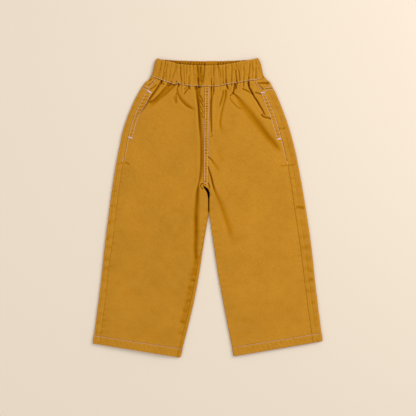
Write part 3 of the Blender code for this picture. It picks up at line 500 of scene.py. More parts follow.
# %% Height of the front's outer face
def front_height(side, x, y):
    """(height, painted shade) of the front where it lies over the back."""
    from_outer = np.abs(smooth(OUTER_EDGE, COLUMN[side], y) - x)
    from_inner = np.abs(x - smooth(INNER_EDGE, COLUMN[side], y))
    below_crotch = ease((CROTCH - y) / 26)
    rise = smooth(LAID, 2, y) * ease(from_outer / 32) * (1 - below_crotch * (1 - ease(from_inner / 24)))
    rise += 0.45 * uneven(x, y, 34, 3, 1.6) * ease(from_outer / 20)  # broad hills
    rise += 0.16 * uneven(x, y, 13, 4, 1.3) * ease(from_outer / 10)  # smaller ones
    flat = ease((from_outer - 2) / 8) * (1 - below_crotch * (1 - ease((from_inner - 2) / 5)))
    folds, dark = fold_field(FOLDS, x, y)
    strips, strip_dark = fold_field(STRIP_FOLDS, x, y)
    tucks, tuck_dark = fold_field(SEAM_TUCK_FOLDS, x, y)
    gathers = gather_field(x, smooth(WAIST_SEAM, 1, x) - y)
    sunk = (folds + tucks + gathers) * flat + strips * ease(from_outer / 4)
    lowest = 2 * CLOTH + 0.35
    above = smooth(LAID, 1, y) + rise - sunk - lowest
    height = lowest + np.logaddexp(0, above / 0.25) * 0.25  # a soft stop, not a sharp one
    # Painted shade from the folds, tucks and gathers, less where the cloth rolls round an edge.
    return height, (dark + 0.8 * tuck_dark + 0.06 * gathers) * flat + strip_dark


# %% [markdown]
# ## Rows of cloth
#
# `rows_at` says where each row starts and ends. A row's number runs from 0 at the waist seam to 1
# at the crotch and 2 at the hem. Along a row, cloth is measured from the edge that it rolls round:
# positive on top, negative underneath. `round_inner` and `round_outer` turn that into a place.

# %% Where the rows run
def rows_at(side, number):
    """What each row needs, as columns of numbers that broadcast along the row."""
    number = np.asarray(number, float)[:, None]
    column, on_leg = COLUMN[side], number > 1
    rise, leg = np.clip(number, 0, 1), np.clip(number - 1, 0, 1)
    outer_y = WAIST_SIDE[side] + (CROTCH - WAIST_SIDE[side]) * rise + (HEM_SIDE[side] - CROTCH) * leg
    front_y, back_y = (smooth(ROW_MIDDLES, k, rise) + (HEM_INNER[side] - CROTCH) * leg for k in (1, 2))
    edge_x = smooth(INNER_EDGE, column, front_y)
    outer_x = smooth(OUTER_EDGE, column, outer_y)
    return SimpleNamespace(
        number=number, outer_x=outer_x, outer_y=outer_y, front_y=front_y, back_y=back_y, edge_x=edge_x,
        front_x=np.where(on_leg, edge_x, smooth(MIDDLE_SEAMS, 1, front_y)),
        back_x=np.where(on_leg, edge_x, smooth(MIDDLE_SEAMS, 2, back_y)),
        seam_x=outer_x - SIGN[side] * smooth(SIDE_STRIP, column, outer_y),
        inseam=smooth(INSEAM, column, front_y),
        radius=smooth(LAID, 1, front_y) / 2,
        outer_radius=smooth(LAID, 1, outer_y) / 2,
        apart=ease((CROTCH - front_y) / 9) * on_leg,  # the legs part within 9 mm of the crotch
        curve=1 - ease(rise / 0.2),  # the rows near the waist follow its seam's curve
    )


# %% The height up the garment along a row
def y_on_front(side, row, x):
    across = np.clip((x - row.outer_x) / (row.front_x - row.outer_x), 0, 1)
    straight = between(WAIST_SIDE[side], ROW_MIDDLES[0][1], across)
    dip = (smooth(WAIST_SEAM, 1, x) - straight) * row.curve * (row.number <= 1)
    return between(row.outer_y, row.front_y, across) + dip


def y_on_back(row, x):
    across = np.clip((x - row.outer_x) / (row.back_x - row.outer_x), 0, 1)
    return between(row.outer_y, row.back_y, across)


# %% Cloth that rolls round an edge
EDGE_DARK = 0.45  # cloth that turns under sees little light


def roll(edge_x, outward, along, radius):
    """(x, share of the way up, whether it is over the roll) for cloth that rolls round an edge."""
    quarter = QUARTER_TURN * radius
    angle = np.clip(along / radius, -QUARTER_TURN, QUARTER_TURN)
    beyond = np.maximum(np.abs(along) - quarter, 0)
    x = edge_x - outward * (radius - radius * np.cos(angle) + beyond)
    return x, (1 + np.sin(angle)) / 2, along > quarter


def between_legs(row):
    """(how closed the backs are just below the crotch, how much shade is painted on the cloth there)."""
    closing = ease((row.front_y + 10) / 8) * (row.number > 1)
    return closing, closing * (0.66 + 0.34 * ease((row.front_y - 12) / 8))


# %% Round the inner edge
def round_inner(side, row, along, front):
    """Place and painted shade of cloth near the inner edge, or near the middle seam above the crotch."""
    sign, apart = SIGN[side], row.apart
    rolled_x, up, over = roll(row.edge_x, -sign, along, row.radius)
    flat_x = (row.front_x if front else row.back_x) + sign * np.abs(along - row.inseam)
    x = between(flat_x, rolled_x, apart)
    closing, shade = between_legs(row)
    if not front:
        # Under the crotch the two backs meet, so cloth painted nearly black as shade, and not the table,
        # shows between the legs.
        edges = [smooth(INNER_EDGE, COLUMN[which], row.front_y) for which in SIDES]
        x = x - sign * (np.abs(sum(edges) / 2 - x[:, -1:]) + 0.5) * closing
    top_y = y_on_front(side, row, x)
    top, dark = front_height(side, x, top_y)
    rolled_z = np.where(over, top, 2 * row.radius * up)
    if front:
        shaded = (EDGE_DARK + 0.4 * closing) * (1 - up) * apart
        return x, top_y, between(top, rolled_z, apart), dark * np.where(over, 1, 1 - apart) + shaded
    y = between(y_on_back(row, x), top_y, up * apart)
    shaded = EDGE_DARK * (1 - up) * ease((along + 12) / 7) * apart + shade * ease(along / 1.5)
    return x, y, rolled_z * apart * (1 - 0.8 * closing), dark * over * apart + shaded


# %% Round the outer edge
def round_outer(side, row, along):
    """Place and painted shade of the back's cloth where it rolls round the outer edge."""
    radius = row.outer_radius
    x, up, over = roll(row.outer_x, SIGN[side], along, radius)
    under = along < -QUARTER_TURN * radius
    top_y = y_on_front(side, row, x)
    top, dark = front_height(side, x, top_y)
    y = np.where(over, top_y, np.where(under, y_on_back(row, x), row.outer_y))
    return x, y, np.where(over, top, 2 * radius * up), dark * over + EDGE_DARK * (1 - up)


# %% [markdown]
# ## From a grid to a shell
#
# Each panel is worked out as its outer face only: rows and columns of points. The inner face is the
# same grid moved inward by the cloth's thickness, and the hem's lower edge gets a few more rows that
# go round, because a turned-up edge is soft. Two values are kept at each point for the material: how
# much shade is painted there, in creases, hollows, gaps and under the edges, and how much paler it is
# painted, as wear on seams and folded edges and as painted highlight where it stands proud.

# %% Grids
HEM_EDGE_ROWS = 4
INSIDE_DARK = 0.35  # little light gets inside the legs


def grid_normals(points, outward):
    """Unit normals of a grid of points, turned so that the middle one agrees with `outward`."""
    across, down = np.gradient(points, axis=1), np.gradient(points, axis=0)
    normal = np.cross(down, across)
    normal /= np.maximum(np.linalg.norm(normal, axis=2, keepdims=True), 1e-9)
    middle = normal[points.shape[0] // 2, points.shape[1] // 2]
    return normal if np.dot(middle, outward) > 0 else -normal


def hollowness(points, normal, steps=2):
    """How far the cloth around each point stands above it, in mm: negative on a crest."""
    around = np.zeros(points.shape)
    for axis in (0, 1):
        for way in (-steps, steps):
            moved = np.roll(points, way, axis=axis)
            ends = [slice(None)] * 3
            ends[axis] = slice(0, steps) if way > 0 else slice(-steps, None)
            moved[tuple(ends)] = points[tuple(ends)]
            around += moved - points
    return (around * normal).sum(2) / 2


def grid_faces(count, columns, ring):
    """(the number of each point, the faces of the grid); a ring joins its last column to its first."""
    index = np.arange(count * columns).reshape(count, columns)
    right, below = np.roll(index, -1, axis=1), np.roll(index, -1, axis=0)
    quads = np.stack([index, right, np.roll(right, -1, axis=0), below], -1)
    return index, (quads if ring else quads[:, :-1]).reshape(-1, 4)


def rounded_edge(middle, half, ahead, rows):
    """Rows of points that go round from one face of the cloth to the other."""
    angles = np.linspace(0, np.pi, rows + 2)[1:-1, None, None]
    return middle + half * np.cos(angles) + ahead * np.sin(angles)


# %% Meshes
def in_scene(name, data):
    piece = bpy.data.objects.new(name, data)
    bpy.context.scene.collection.objects.link(piece)
    return piece


def mesh_piece(name, points, faces, material):
    mesh = bpy.data.meshes.new(name)
    mesh.from_pydata(points, [], faces)
    mesh.shade_smooth()
    mesh.materials.append(material)
    return in_scene(name, mesh)


def cloth_piece(node, points, faces, painted_shade, wear_and_highlight):
    """A piece of cloth that keeps two values at each point, between 0 and 1: its painted shade, and its
    paler wear and painted highlight.
    """
    a, b, c, d = (points[faces[:, k]] for k in range(4))
    if (a * (np.cross(b, c) + np.cross(c, d))).sum() < 0:
        faces = faces[:, ::-1]  # its volume was negative, so the faces looked inward
    piece = mesh_piece(node + "_cloth", (points * MM).tolist(), faces.tolist(), twills[node])
    for label, values in (("painted_shade", painted_shade), ("wear_and_highlight", wear_and_highlight)):
        attribute = piece.data.attributes.new(label, "FLOAT", "POINT")
        attribute.data.foreach_set("value", np.clip(values, 0, 1).astype(np.float32))
    print(f"{piece.name}: {len(points)} points, {2 * len(faces)} triangles")
    return piece


# %% A shell from its outer face
def shell(node, outer, outward, wall, painted_shade, wear_and_highlight, inside=INSIDE_DARK, hem=True):
    """A closed mesh: outer face, rounded hem, inner face with its painted shade, and the cut edges."""
    normal = grid_normals(outer, outward)
    hollow = hollowness(outer, normal)
    # Painted shade in the hollows and painted highlight on the crests, from the shape of the cloth around
    # each point.
    painted_shade = painted_shade + np.clip(0.6 * hollow, 0, 0.25)
    wear_and_highlight = wear_and_highlight + np.clip(-1.6 * hollow, 0, 0.7)
    inner = outer - normal * wall[:, :, None]
    inner[:, :, 2] = np.maximum(inner[:, :, 2], 0)
    layers, creases, wear_and_highlights = [outer], [painted_shade], [wear_and_highlight]
    if hem:
        ahead = outer[-1] - outer[-2]
        ahead /= np.linalg.norm(ahead, axis=1, keepdims=True)
        half = wall[-1][:, None] / 2
        middle = (outer[-1] + inner[-1]) / 2
        layers.append(rounded_edge(middle, half * normal[-1], half * ahead, HEM_EDGE_ROWS))
        creases.append(np.repeat(painted_shade[-1:], HEM_EDGE_ROWS, 0))
        # The hem's folded edge is painted paler, as wear.
        wear_and_highlights.append(0 * creases[-1] + 0.6)
    points = np.concatenate([*layers, inner[::-1]])
    # The inner face gets painted shade.
    creases.append((0 * painted_shade + inside)[::-1])
    wear_and_highlights.append(0 * wear_and_highlight)
    index, quads = grid_faces(*points.shape[:2], ring=False)
    k = np.arange(len(index) // 2 - 1)
    cuts = np.stack([index[k], index[-1 - k], index[-2 - k], index[k + 1]], -1)
    caps = np.stack([cuts[:, 0], cuts[:, -1, ::-1]], 1).reshape(-1, 4)
    return cloth_piece(node, points.reshape(-1, 3), np.concatenate([quads, caps]),
                       np.concatenate(creases).ravel(), np.concatenate(wear_and_highlights).ravel())


# %% [markdown]
# ## Cotton twill
#
# Twill is woven so that each thread passes over two and under two, one step further on each row,
# and fine diagonal lines run across the cloth. The lines are about 0.7 mm apart, so from above they
# only break up the light. The cloth was dyed as a finished garment, so its colour is a little cloudy.
# It is painted a bit paler where seams and folded edges are worn, and as painted highlight where it
# stands proud; in creases, hollows and gaps it is painted deep and warm as painted shade, from values
# kept at each point. All the rest is made with noise and wave textures, so it needs no image and looks
# the same in any view.

# %% Colours
def linear(red, green, blue):
    """A colour given as 0 to 255, as the light that the shader wants."""
    shares = [c / 255 for c in (red, green, blue)]
    return [s / 12.92 if s <= 0.04045 else ((s + 0.055) / 1.055) ** 2.4 for s in shares] + [1.0]


def dimmed(colour, share):
    return [c * share for c in colour[:3]] + [1.0]


TWILL = (195, 135, 39)
PAINTED_SHADE_COLOURS = (  # amount of painted shade, and the colour painted there: blue goes first, then green; near 1 it is almost black, the painted shade between the legs
    (0, TWILL), (0.16, (182, 120, 14)), (0.34, (166, 105, 4)), (0.52, (146, 88, 3)), (0.70, (118, 66, 3)),
    (0.86, (86, 42, 2)), (1, (9, 3, 1)),
)
THREAD = (230, 198, 174)
BARTACK_THREAD = (232, 224, 255)
FLOOR = (233, 219, 201)


# %% Make and link nodes
def feed(tree, socket, value):
    """Gives a socket a number or a colour, or links another node's output to it."""
    if isinstance(value, bpy.types.NodeSocket):
        tree.links.new(value, socket)
    else:
        socket.default_value = value


def add(tree, kind, **inputs):
    """A shader node with its inputs set."""
    node = tree.nodes.new("ShaderNode" + kind)
    for name, value in inputs.items():
        feed(tree, node.inputs[name], value)
    return node


def new_material(name):
    material = bpy.data.materials.new(name)
    material.use_nodes = True
    return material, material.node_tree, material.node_tree.nodes["Principled BSDF"]


# %% Noise, mixes and ranges
def noise(tree, place, scale, detail, roughness=0.5):
    inputs = {"Vector": place, "Scale": scale, "Detail": detail, "Roughness": roughness}
    return add(tree, "TexNoise", **inputs).outputs["Fac"]


def blend(tree, amount, first, second, way="MIX"):
    """Mixes two colours, and returns the mix's output."""
    node = tree.nodes.new("ShaderNodeMix")
    node.data_type = "RGBA"
    node.blend_type = way
    for socket, value in zip((0, 6, 7), (amount, first, second)):
        feed(tree, node.inputs[socket], value)
    return node.outputs[2]


def ramp(tree, value, low, high, least=0.0, most=1.0):
    """Spreads a value between two limits onto another range."""
    limits = {"From Min": low, "From Max": high, "To Min": least, "To Max": most}
    return add(tree, "MapRange", Value=value, **limits).outputs["Result"]


# %% What the cloth keeps at each point, as colour
def kept_value(tree, name):
    """What a piece of cloth keeps at each point."""
    node = add(tree, "Attribute")
    node.attribute_name = name
    return node.outputs["Fac"]


def painted_shade_tint(tree, depth):
    """What the cloth's colour is multiplied by for an amount of painted shade."""
    node = add(tree, "ValToRGB", Fac=depth)
    stops = node.color_ramp.elements
    while len(stops) < len(PAINTED_SHADE_COLOURS):
        stops.new(0.5)
    for stop, (position, colour) in zip(stops, PAINTED_SHADE_COLOURS):
        stop.position = position
        stop.color = [c / f for c, f in zip(linear(*colour), linear(*TWILL))]
    return node.outputs["Color"]


# %% Twill
def twill(name, slant, tone):
    """Mustard twill whose diagonal runs at `slant` degrees; `tone` makes a panel lighter or darker."""
    material, tree, shader = new_material(name)
    place = add(tree, "TexCoord").outputs["Object"]
    turned = add(tree, "Mapping", Vector=place, Rotation=(0, 0, np.radians(slant))).outputs["Vector"]
    squeezed = add(tree, "Mapping", Vector=turned, Scale=(90, 1300, 400)).outputs["Vector"]
    cloudy = noise(tree, place, 17, 3, 0.55)
    patchy = noise(tree, place, 75, 3, 0.6)
    grain = noise(tree, place, 420, 3, 0.7)
    slubs = noise(tree, squeezed, 1, 2)
    ribs = add(tree, "TexWave", Vector=turned, Scale=450, Distortion=1.2, Detail=1).outputs["Fac"]

    base = dimmed(linear(*TWILL), tone)
    colour = blend(tree, ramp(tree, cloudy, 0.3, 0.7), dimmed(base, 0.92), dimmed(base, 1.07))
    for value, low, high, least, most, paint in (
        (patchy, 0.35, 0.7, 0, 0.28, (204, 146, 50)),
        (grain, 0.3, 0.7, 0, 0.34, (150, 95, 8)),
        (slubs, 0.4, 0.8, 0, 0.22, (214, 158, 64)),
        (ribs, 0.1, 0.9, 0.12, 0, (146, 90, 2)),
        # Wear on seams and folded edges, and painted highlight on crests, make the cloth paler.
        (kept_value(tree, "wear_and_highlight"), 0, 1, 0, 0.4, (204, 148, 56)),
    ):
        colour = blend(tree, ramp(tree, value, low, high, least, most), colour, linear(*paint))
    # Painted shade: the colour is multiplied down by the ramp where shade is painted.
    colour = blend(tree, 1, colour, painted_shade_tint(tree, kept_value(tree, "painted_shade")), "MULTIPLY")
    feed(tree, shader.inputs["Base Color"], colour)

    weave = blend(tree, 0.5, ribs, grain)
    fine = add(tree, "Bump", Height=weave, Strength=0.55, Distance=0.00022).outputs["Normal"]
    soft = add(tree, "Bump", Height=patchy, Strength=0.5, Distance=0.0009, Normal=fine).outputs["Normal"]
    feed(tree, shader.inputs["Normal"], soft)
    feed(tree, shader.inputs["Roughness"], ramp(tree, grain, 0.2, 0.8, 0.74, 0.9))
    shader.inputs["Specular IOR Level"].default_value = 0.03
    shader.inputs["Sheen Weight"].default_value = 0.03
    shader.inputs["Sheen Roughness"].default_value = 0.45
    shader.inputs["Sheen Tint"].default_value = linear(236, 196, 120)
    return material


CUTS = {  # the slant of each piece's diagonal, and its tone
    "waistband": (42, 0.98), "front_left": (48, 0.99), "front_right": (40, 1.03), "back_left": (51, 1.05),
    "back_right": (38, 0.965), "yoke_left": (60, 1.04), "yoke_right": (30, 0.95),
}
twills = {node: twill("twill_" + node, *cut) for node, cut in CUTS.items()}
print(len(twills), "cuts of twill, each with its own grain")


# %% [markdown]
# ## Seams, puckers and hems
#
# Stitching shrinks a little in the wash and the cloth does not, so every seam puckers: short ripples
# across it, a few millimetres apart. Beside a seam the cut edges lie folded under and make a low
# step. A hem is two layers, ripples on the slant, and has a dent along its stitches. These small
# forms are moved along the cloth's own normal, so they follow it round the rolled edges too.

# %% Ripples along a seam
HEM_STEP, HEM_DENT = 0.45, 0.35  # mm: the second layer, and how deep its stitches pull the cloth in


def ripples(along, spacing, seed, from_seam=0, reach=1):
    """Uneven short waves across a seam, between -1 and 1, which fade over their reach."""
    wander = 0.8 * spacing * uneven(along, 0, spacing * 3.1, seed)
    strength = 0.55 + 0.45 * uneven(along, 0, spacing * 2.3, seed + 1)
    wave = np.sin(2 * np.pi * (along + wander) / spacing)
    return wave * strength * np.exp(-np.maximum(from_seam, 0) / reach)


def seam_gap(side, y, from_side):
    """(depth, painted shade) of the gap at the side seam; stitches hold it nearly closed higher up."""
    gap = SIDE_GAP[side] * (1 - 0.7 * ease((y - SIDE_ROW_END + 6) / 8))
    return 2.8 * gap * bump(from_side, 0.7), gap * bump(from_side, 1.2)


def hem_distance(side, row, x):
    """How far each point is above its hem, measured down the leg."""
    return LEG[side] * (2 - row.number) + 0 * x


def hem_relief(from_hem, along, seed):
    """(height, painted shade) of the hem: a second layer, a dent at its stitches with shade painted in it,
    slanting ripples.
    """
    inside = ease(HEM_HEIGHT + 0.9 - from_hem)
    dent = bump(from_hem - HEM_HEIGHT, 0.8)
    waves = ripples(along, 8.5, seed) * ease((HEM_HEIGHT - from_hem) / 3)
    slanted = np.sin(2 * np.pi * (along + 0.6 * from_hem) / 9 + 2 * uneven(along, 0, 30, seed + 5))
    return (HEM_STEP + 0.07 * slanted + 0.08 * waves) * inside - HEM_DENT * dent, 0.25 * dent


def cloth_wall(from_hem):
    return between(CLOTH, HEM_CLOTH, ease((HEM_HEIGHT + 0.6 - from_hem) / 0.8))


# %% Where the rows and columns of a grid go
ROW_RUNS = ((0, 1, 162), (1, 1.1, 30), (1.1, 1.945, 92), (1.945, 2, 18))  # first, last, how many
TIGHTNESS = 14  # how soon the columns open up away from an edge


def row_numbers(first, last):
    """Rows lie close together at the waist, the crotch and the hem, where the cloth has most form."""
    numbers = np.unique(np.concatenate([np.linspace(*run) for run in ROW_RUNS]))
    inside = numbers[(numbers > first + 1e-6) & (numbers < last - 1e-6)]
    return np.concatenate([[first], inside, [last]])


def spread(count, tight_start, tight_end):
    """Shares from 0 to 1, closer together at the ends."""
    t = np.linspace(0, 1, count)
    step = 1 / (1 + tight_start * np.exp(-TIGHTNESS * t) + tight_end * np.exp(-TIGHTNESS * (1 - t)))
    total = np.concatenate([[0], np.cumsum((step[1:] + step[:-1]) / 2)])
    return total / total[-1]


# %% [markdown]
# ## The two fronts
#
# A front is cut from the side seam to the middle, and below the crotch to the inseam. Its side edge
# is folded under and stitched, and between the two bartacks it is the mouth of the pocket, so it
# stands a little off the back. On the right front, the felled middle seam makes a flat band.

# %% Sizes of the front's details
POCKET = {"left": (130.0, 214.0), "right": (128.0, 213.0)}  # y of the two ends of the mouth
POCKET_ROWS = {"left": 7.6, "right": 7.2}  # from the edge to the dent of its second row
MOUTH_OPENS = 0.5  # the most that the edge lifts off the back
EDGE_STEP = 0.22  # the cloth folded under at the pocket's mouth
FELL_WIDTH = 7.6
FELL_STEP = 0.5  # how much higher the band of the felled seam is
FELL_ROWS = (1.2, 6.4)  # the dents of its two rows
HEM_OPENS = 1.5  # the most that the hem lifts off the back
FRONT_COLUMNS = 152


# %% Front panels
def front_panel(side):
    row = rows_at(side, row_numbers(0, 2))
    start_x = row.seam_x - SIGN[side] * SIDE_GAP[side]
    middle = row.inseam + HALF_SEAM
    flat_length = np.abs(start_x - row.front_x) + row.inseam
    leg_length = np.abs(start_x - row.edge_x) - row.radius * (1 - QUARTER_TURN)
    length = between(flat_length, leg_length, row.apart)
    along = between(length, middle, spread(FRONT_COLUMNS, 1.2, 2.4))
    x, y, z, dark = round_inner(side, row, along, front=True)
    points = np.stack([x, y, z], -1)
    normal = grid_normals(points, UP)
    from_side, from_middle = np.abs(x - start_x), along - middle
    from_hem, from_waist = hem_distance(side, row, x), smooth(WAIST_SEAM, 1, x) - y

    # The pocket's mouth stands open a little, and the stitched edge beside it is two layers thick.
    low, high = POCKET[side]
    mouth = ease((y - low) / 6) * ease((high - y) / 6)
    edge = mouth * ease((POCKET_ROWS[side] + 1 - from_side) / 1.2)
    stitched = ease((y - SIDE_ROW_END) / 4)
    shrunk = ripples(y, 6.4, 11)
    gap, gap_dark = seam_gap(side, y, from_side)
    lift = MOUTH_OPENS * mouth * bump(from_side, 6) + EDGE_STEP * edge * (1 + shrunk) - gap
    lift += 0.14 * ripples(y, 9.5, 13, from_side, 5) * (1 - edge)
    lift -= 0.3 * bump(from_side - 0.9, 0.6) * stitched
    lift -= 0.25 * bump(from_side - POCKET_ROWS[side], 0.7) * mouth
    # Painted shade in the seam's gap and in the valleys of the puckers along the pocket's edge.
    painted_shade = dark + gap_dark + 0.16 * edge * ease(-1.4 * shrunk)

    # The middle seam is felled onto the right front; below the crotch the inseam is plain.
    above = ease((y - CROTCH) / 4)
    fell = FELL_WIDTH if side == "right" else 0
    if fell:
        band = ease((fell - from_middle) / 0.9) * above
        puckered = ripples(y, 4.9, 21) * bump(from_middle - 3.6, 2.4)
        lift += (FELL_STEP + 0.3 * puckered) * band
        lift -= 0.18 * above * sum(bump(from_middle - place, 0.5) for place in FELL_ROWS)
        # Painted shade in the valleys of the band's puckers and in the dent beside the band.
        painted_shade += 0.42 * band * ease(-1.5 * puckered) + 0.14 * bump(from_middle - fell - 0.6, 0.7) * above
    lift += 0.16 * ripples(y, 5.2, 23, from_middle - fell, 4.5) * above
    lift += 0.26 * ripples(y, 12, 27, from_middle, 7) * (1 - above)
    lift -= (0.25 + 0.15 * above) * bump(from_middle, 0.5)
    # A little painted shade in the dent of the middle seam, and of the inseam below the crotch.
    painted_shade += 0.1 * bump(from_middle, 0.6) * above + 0.04 * bump(from_middle, 0.8) * (1 - above)

    # The hem is stiff, so it lifts off the back here and there; the waist seam is a shallow dent.
    hem_lift, hem_dark = hem_relief(from_hem, x, 31)
    open_hem = ease((40 - from_hem) / 40) * (0.5 + 0.5 * uneven(x, 0, 46, 37))
    points[:, :, 2] += HEM_OPENS * open_hem * ease((along - 4) / 26) * ease(from_side / 30)
    points[0, :, 1] -= HALF_SEAM
    points += normal * (lift + hem_lift - 0.15 * bump(from_waist, 0.7))[:, :, None]
    # Painted shade in the hem's dent and along the dent of the waist seam.
    painted_shade += hem_dark + (0.06 + 0.08 * uneven(x, 0, 7, 39)) * bump(from_waist, 1.1)
    # The side seam's folded edge and the ridge below the waist seam are painted paler, as wear.
    wear_and_highlight = 0.5 * bump(from_side - 1.6, 0.8) * stitched + 0.4 * bump(from_waist - 1.8, 1.2)
    return shell("front_" + side, points, UP, cloth_wall(from_hem), painted_shade, wear_and_highlight)


cloth = {"front_" + side: front_panel(side) for side in SIDES}


# %% [markdown]
# ## The backs and the yoke
#
# A back panel starts beside the side seam on top, rolls round the outer edge, lies flat underneath
# and comes up round the inner edge to the inseam. Above it, the yoke is the same shape cut off by a
# double-stitched seam. One function makes all four: only the first and last row differ.

# %% Sizes of the backs' details
YOKE_SHARE = 0.104
RISE = 200  # mm from the waist to the crotch, about
STRIP_COLUMNS, UNDER_COLUMNS, INNER_COLUMNS = 26, 28, 22
INNER_REACH = 13  # mm that the inner columns run on under the leg
STRIP_STEP, STRIP_STEP_WIDTH = 0.35, 8  # mm: the side seam's cut edges lie under the strip
HOLLOW = 0.35  # mm that the back stands off the table, on average


# %% Back panels and yokes
def back_part(node, side, first, last):
    hem = last == 2
    row = rows_at(side, row_numbers(first, last))
    quarter = QUARTER_TURN * row.outer_radius
    strip = np.abs(row.seam_x - row.outer_x) - SIDE_GAP[side]
    start, end = quarter + strip - row.outer_radius, row.inseam - HALF_SEAM
    outer_along = between(start, -quarter - 2, spread(STRIP_COLUMNS, 1.5, 0.3))
    inner_along = between(-INNER_REACH, end, spread(INNER_COLUMNS, 0.2, 1.5))
    outer, inner = round_outer(side, row, outer_along), round_inner(side, row, inner_along, front=False)
    share = np.linspace(0, 1, UNDER_COLUMNS + 2)[1:-1]
    under_x = between(outer[0][:, -1:], inner[0][:, :1], share)
    flat = 0 * under_x
    under = (under_x, y_on_back(row, under_x), flat, flat)
    x, y, z, dark = (np.hstack(parts) for parts in zip(outer, under, inner))
    points = np.stack([x, y, z], -1)
    normal = grid_normals(points, DOWN)
    from_side = np.hstack([start - outer_along, flat + FAR, 0 * inner_along + FAR])
    from_inseam = np.hstack([0 * outer_along + FAR, flat + FAR, end - inner_along])
    from_hem = hem_distance(side, row, x) if hem else FAR + 0 * x
    resting = (z < 0.02) & (normal[:, :, 2] < -0.5)

    # The strip that shows beside the side seam ripples, and is raised by the cut edges below it.
    on_strip = from_side < FAR
    strip_ripples = ripples(y, 21, 41) * on_strip
    gap, gap_dark = seam_gap(side, y, from_side)
    lift = 0.11 * strip_ripples + 0.14 * uneven(x, y, 9, 42, 0.8) * on_strip - gap
    lift += STRIP_STEP * ease((STRIP_STEP_WIDTH - from_side) / 1.5)
    lift += 0.11 * ripples(y, 7.5, 43, from_side, 5)
    # Painted shade in the valleys of the strip's ripples and in the seam's gap.
    painted_shade = dark + 0.03 * ease(-1.5 * strip_ripples * (1 - resting)) + gap_dark

    # The inseam puckers, with a little painted shade in its dent; on the left leg it lies on top, and the
    # cloth beside it gets a little painted shade.
    lift += 0.24 * ripples(y, 12, 27, from_inseam, 7) - 0.25 * bump(from_inseam, 0.5)
    painted_shade += 0.04 * bump(from_inseam, 0.8)
    if side == "left":
        painted_shade += 0.085 * ease((9 - from_inseam) / 3) * ease((-40 - y) / 60) * (1 - resting)

    # The hem, and the dent of the yoke's seam, which the back and the yoke share; both dents get painted
    # shade.
    hem_lift, hem_dark = hem_relief(from_hem, x, 53)
    if not hem:
        lift += 0.12 * ripples(x, 8, 57)
    yoke_seam = bump((row.number - YOKE_SHARE) * RISE, 0.6)
    lift += hem_lift - 0.25 * yoke_seam
    painted_shade += hem_dark + 0.12 * yoke_seam

    # Where the back rests on the table it has shallow folds of its own, with painted shade in them, and
    # nothing goes below 0.
    hollow, hollow_dark = fold_field(BACK_FOLDS, x, y)
    hollow += HOLLOW * (1 + uneven(x, y, 30, 59, 1.4))
    lift = np.where(resting, -hollow * ease((np.abs(x - row.outer_x) - 8) / 14), lift)
    painted_shade += hollow_dark * resting
    points += normal * lift[:, :, None]
    points[:, :, 2] = np.maximum(points[:, :, 2], 0)
    points[0, :, 1] -= HALF_SEAM
    if not hem:
        points[-1, :, 1] += HALF_SEAM
    # The strip's folded edge beside the side seam is painted paler, as wear.
    wear_and_highlight = 0.35 * bump(from_side - 2, 1)
    # Painted shade on the inner face, darkest between the legs.
    inside = between(INSIDE_DARK, 1, between_legs(row)[1] * (from_inseam < FAR))
    return shell(node, points, DOWN, cloth_wall(from_hem), painted_shade, wear_and_highlight, inside, hem)


for side in SIDES:
    for part, first, last in (("yoke_", 0, YOKE_SHARE), ("back_", YOKE_SHARE, 2)):
        cloth[part + side] = back_part(part + side, side, first, last)


# %% [markdown]
# ## The waistband
#
# The waistband is one ring of casing with elastic inside, folded at the top. The grid goes round the
# ring: across the front, round the right end, back underneath and round the left end. Across its
# height it goes up the outside, over the fold at the top and down the inside. Between two valleys
# the casing puffs up into a round ridge, so each point asks for the valleys on either side of it.

# %% Ridges between valleys
def gathered(x, valleys, depths, puff):
    """(height of the ridges, depth of the valleys) at places across the casing."""
    order = np.argsort(valleys)
    valleys, depths = np.array(valleys)[order], np.array(depths)[order]
    k = np.clip(np.searchsorted(valleys, x), 1, len(valleys) - 1)
    left, right = valleys[k - 1], valleys[k]
    gap = right - left
    share = np.clip((x - left) / gap, 0, 1)
    ridge = puff * np.sin(np.pi * share) ** 0.7 * np.clip(gap / 7, 0.3, 1.15)
    width = np.clip(0.22 * gap, 0.7, 1.5)
    return ridge, depths[k - 1] * bump(x - left, width, 1.5) + depths[k] * bump(x - right, width, 1.5)


# %% Valleys on the inside of the back
INNER_GATHERS = (  # x, depth; between -6 and 18 the casing is plain
    (-92, 0.6), (-85, 0.8), (-79, 0.6), (-72, 0.9), (-64.5, 1.4), (-61, 0.9), (-56, 1.5), (-51.6, 1.4),
    (-46.6, 1.1), (-42, 0.9), (-35.8, 1.5), (-32, 1.5), (-26.4, 1.2), (-20.8, 1.1), (-16, 1.5),
    (-11.6, 1.5), (-6.2, 1.5), (19.8, 1.5), (23.4, 1), (28.8, 1.4), (34.4, 0.8), (41.8, 1.3), (47.4, 0.9),
    (52.6, 0.7), (56.8, 1.2), (62.2, 1), (69, 0.7), (75, 0.9), (82, 0.6), (90, 0.7),
)
INNER_VALLEYS = [place for place, _ in INNER_GATHERS]
INNER_DEPTHS = [0.7 * depth for _, depth in INNER_GATHERS]
print(len(INNER_VALLEYS), "gathers inside the back")

# %% Sizes of the ring
END_SHADE = {"left": 0.0, "right": 0.14}  # the right end is painted a little darker, as painted shade
THINNEST = 0.9  # mm of casing between its two faces in front
FRONT_INSET, BACK_INSET = 3.2, 5  # mm from the ends of the laid waistband
PUFF, VALLEY, CREASE, TUCK = 0.8, 0.3, 0.42, 0.6  # how much of each table's depth shows on the casing


def band_edge(side, share):
    y = between(WAISTBAND_EDGE[0][0], WAISTBAND_EDGE[-1][0], share)
    return smooth(WAISTBAND_EDGE, COLUMN[side], y)


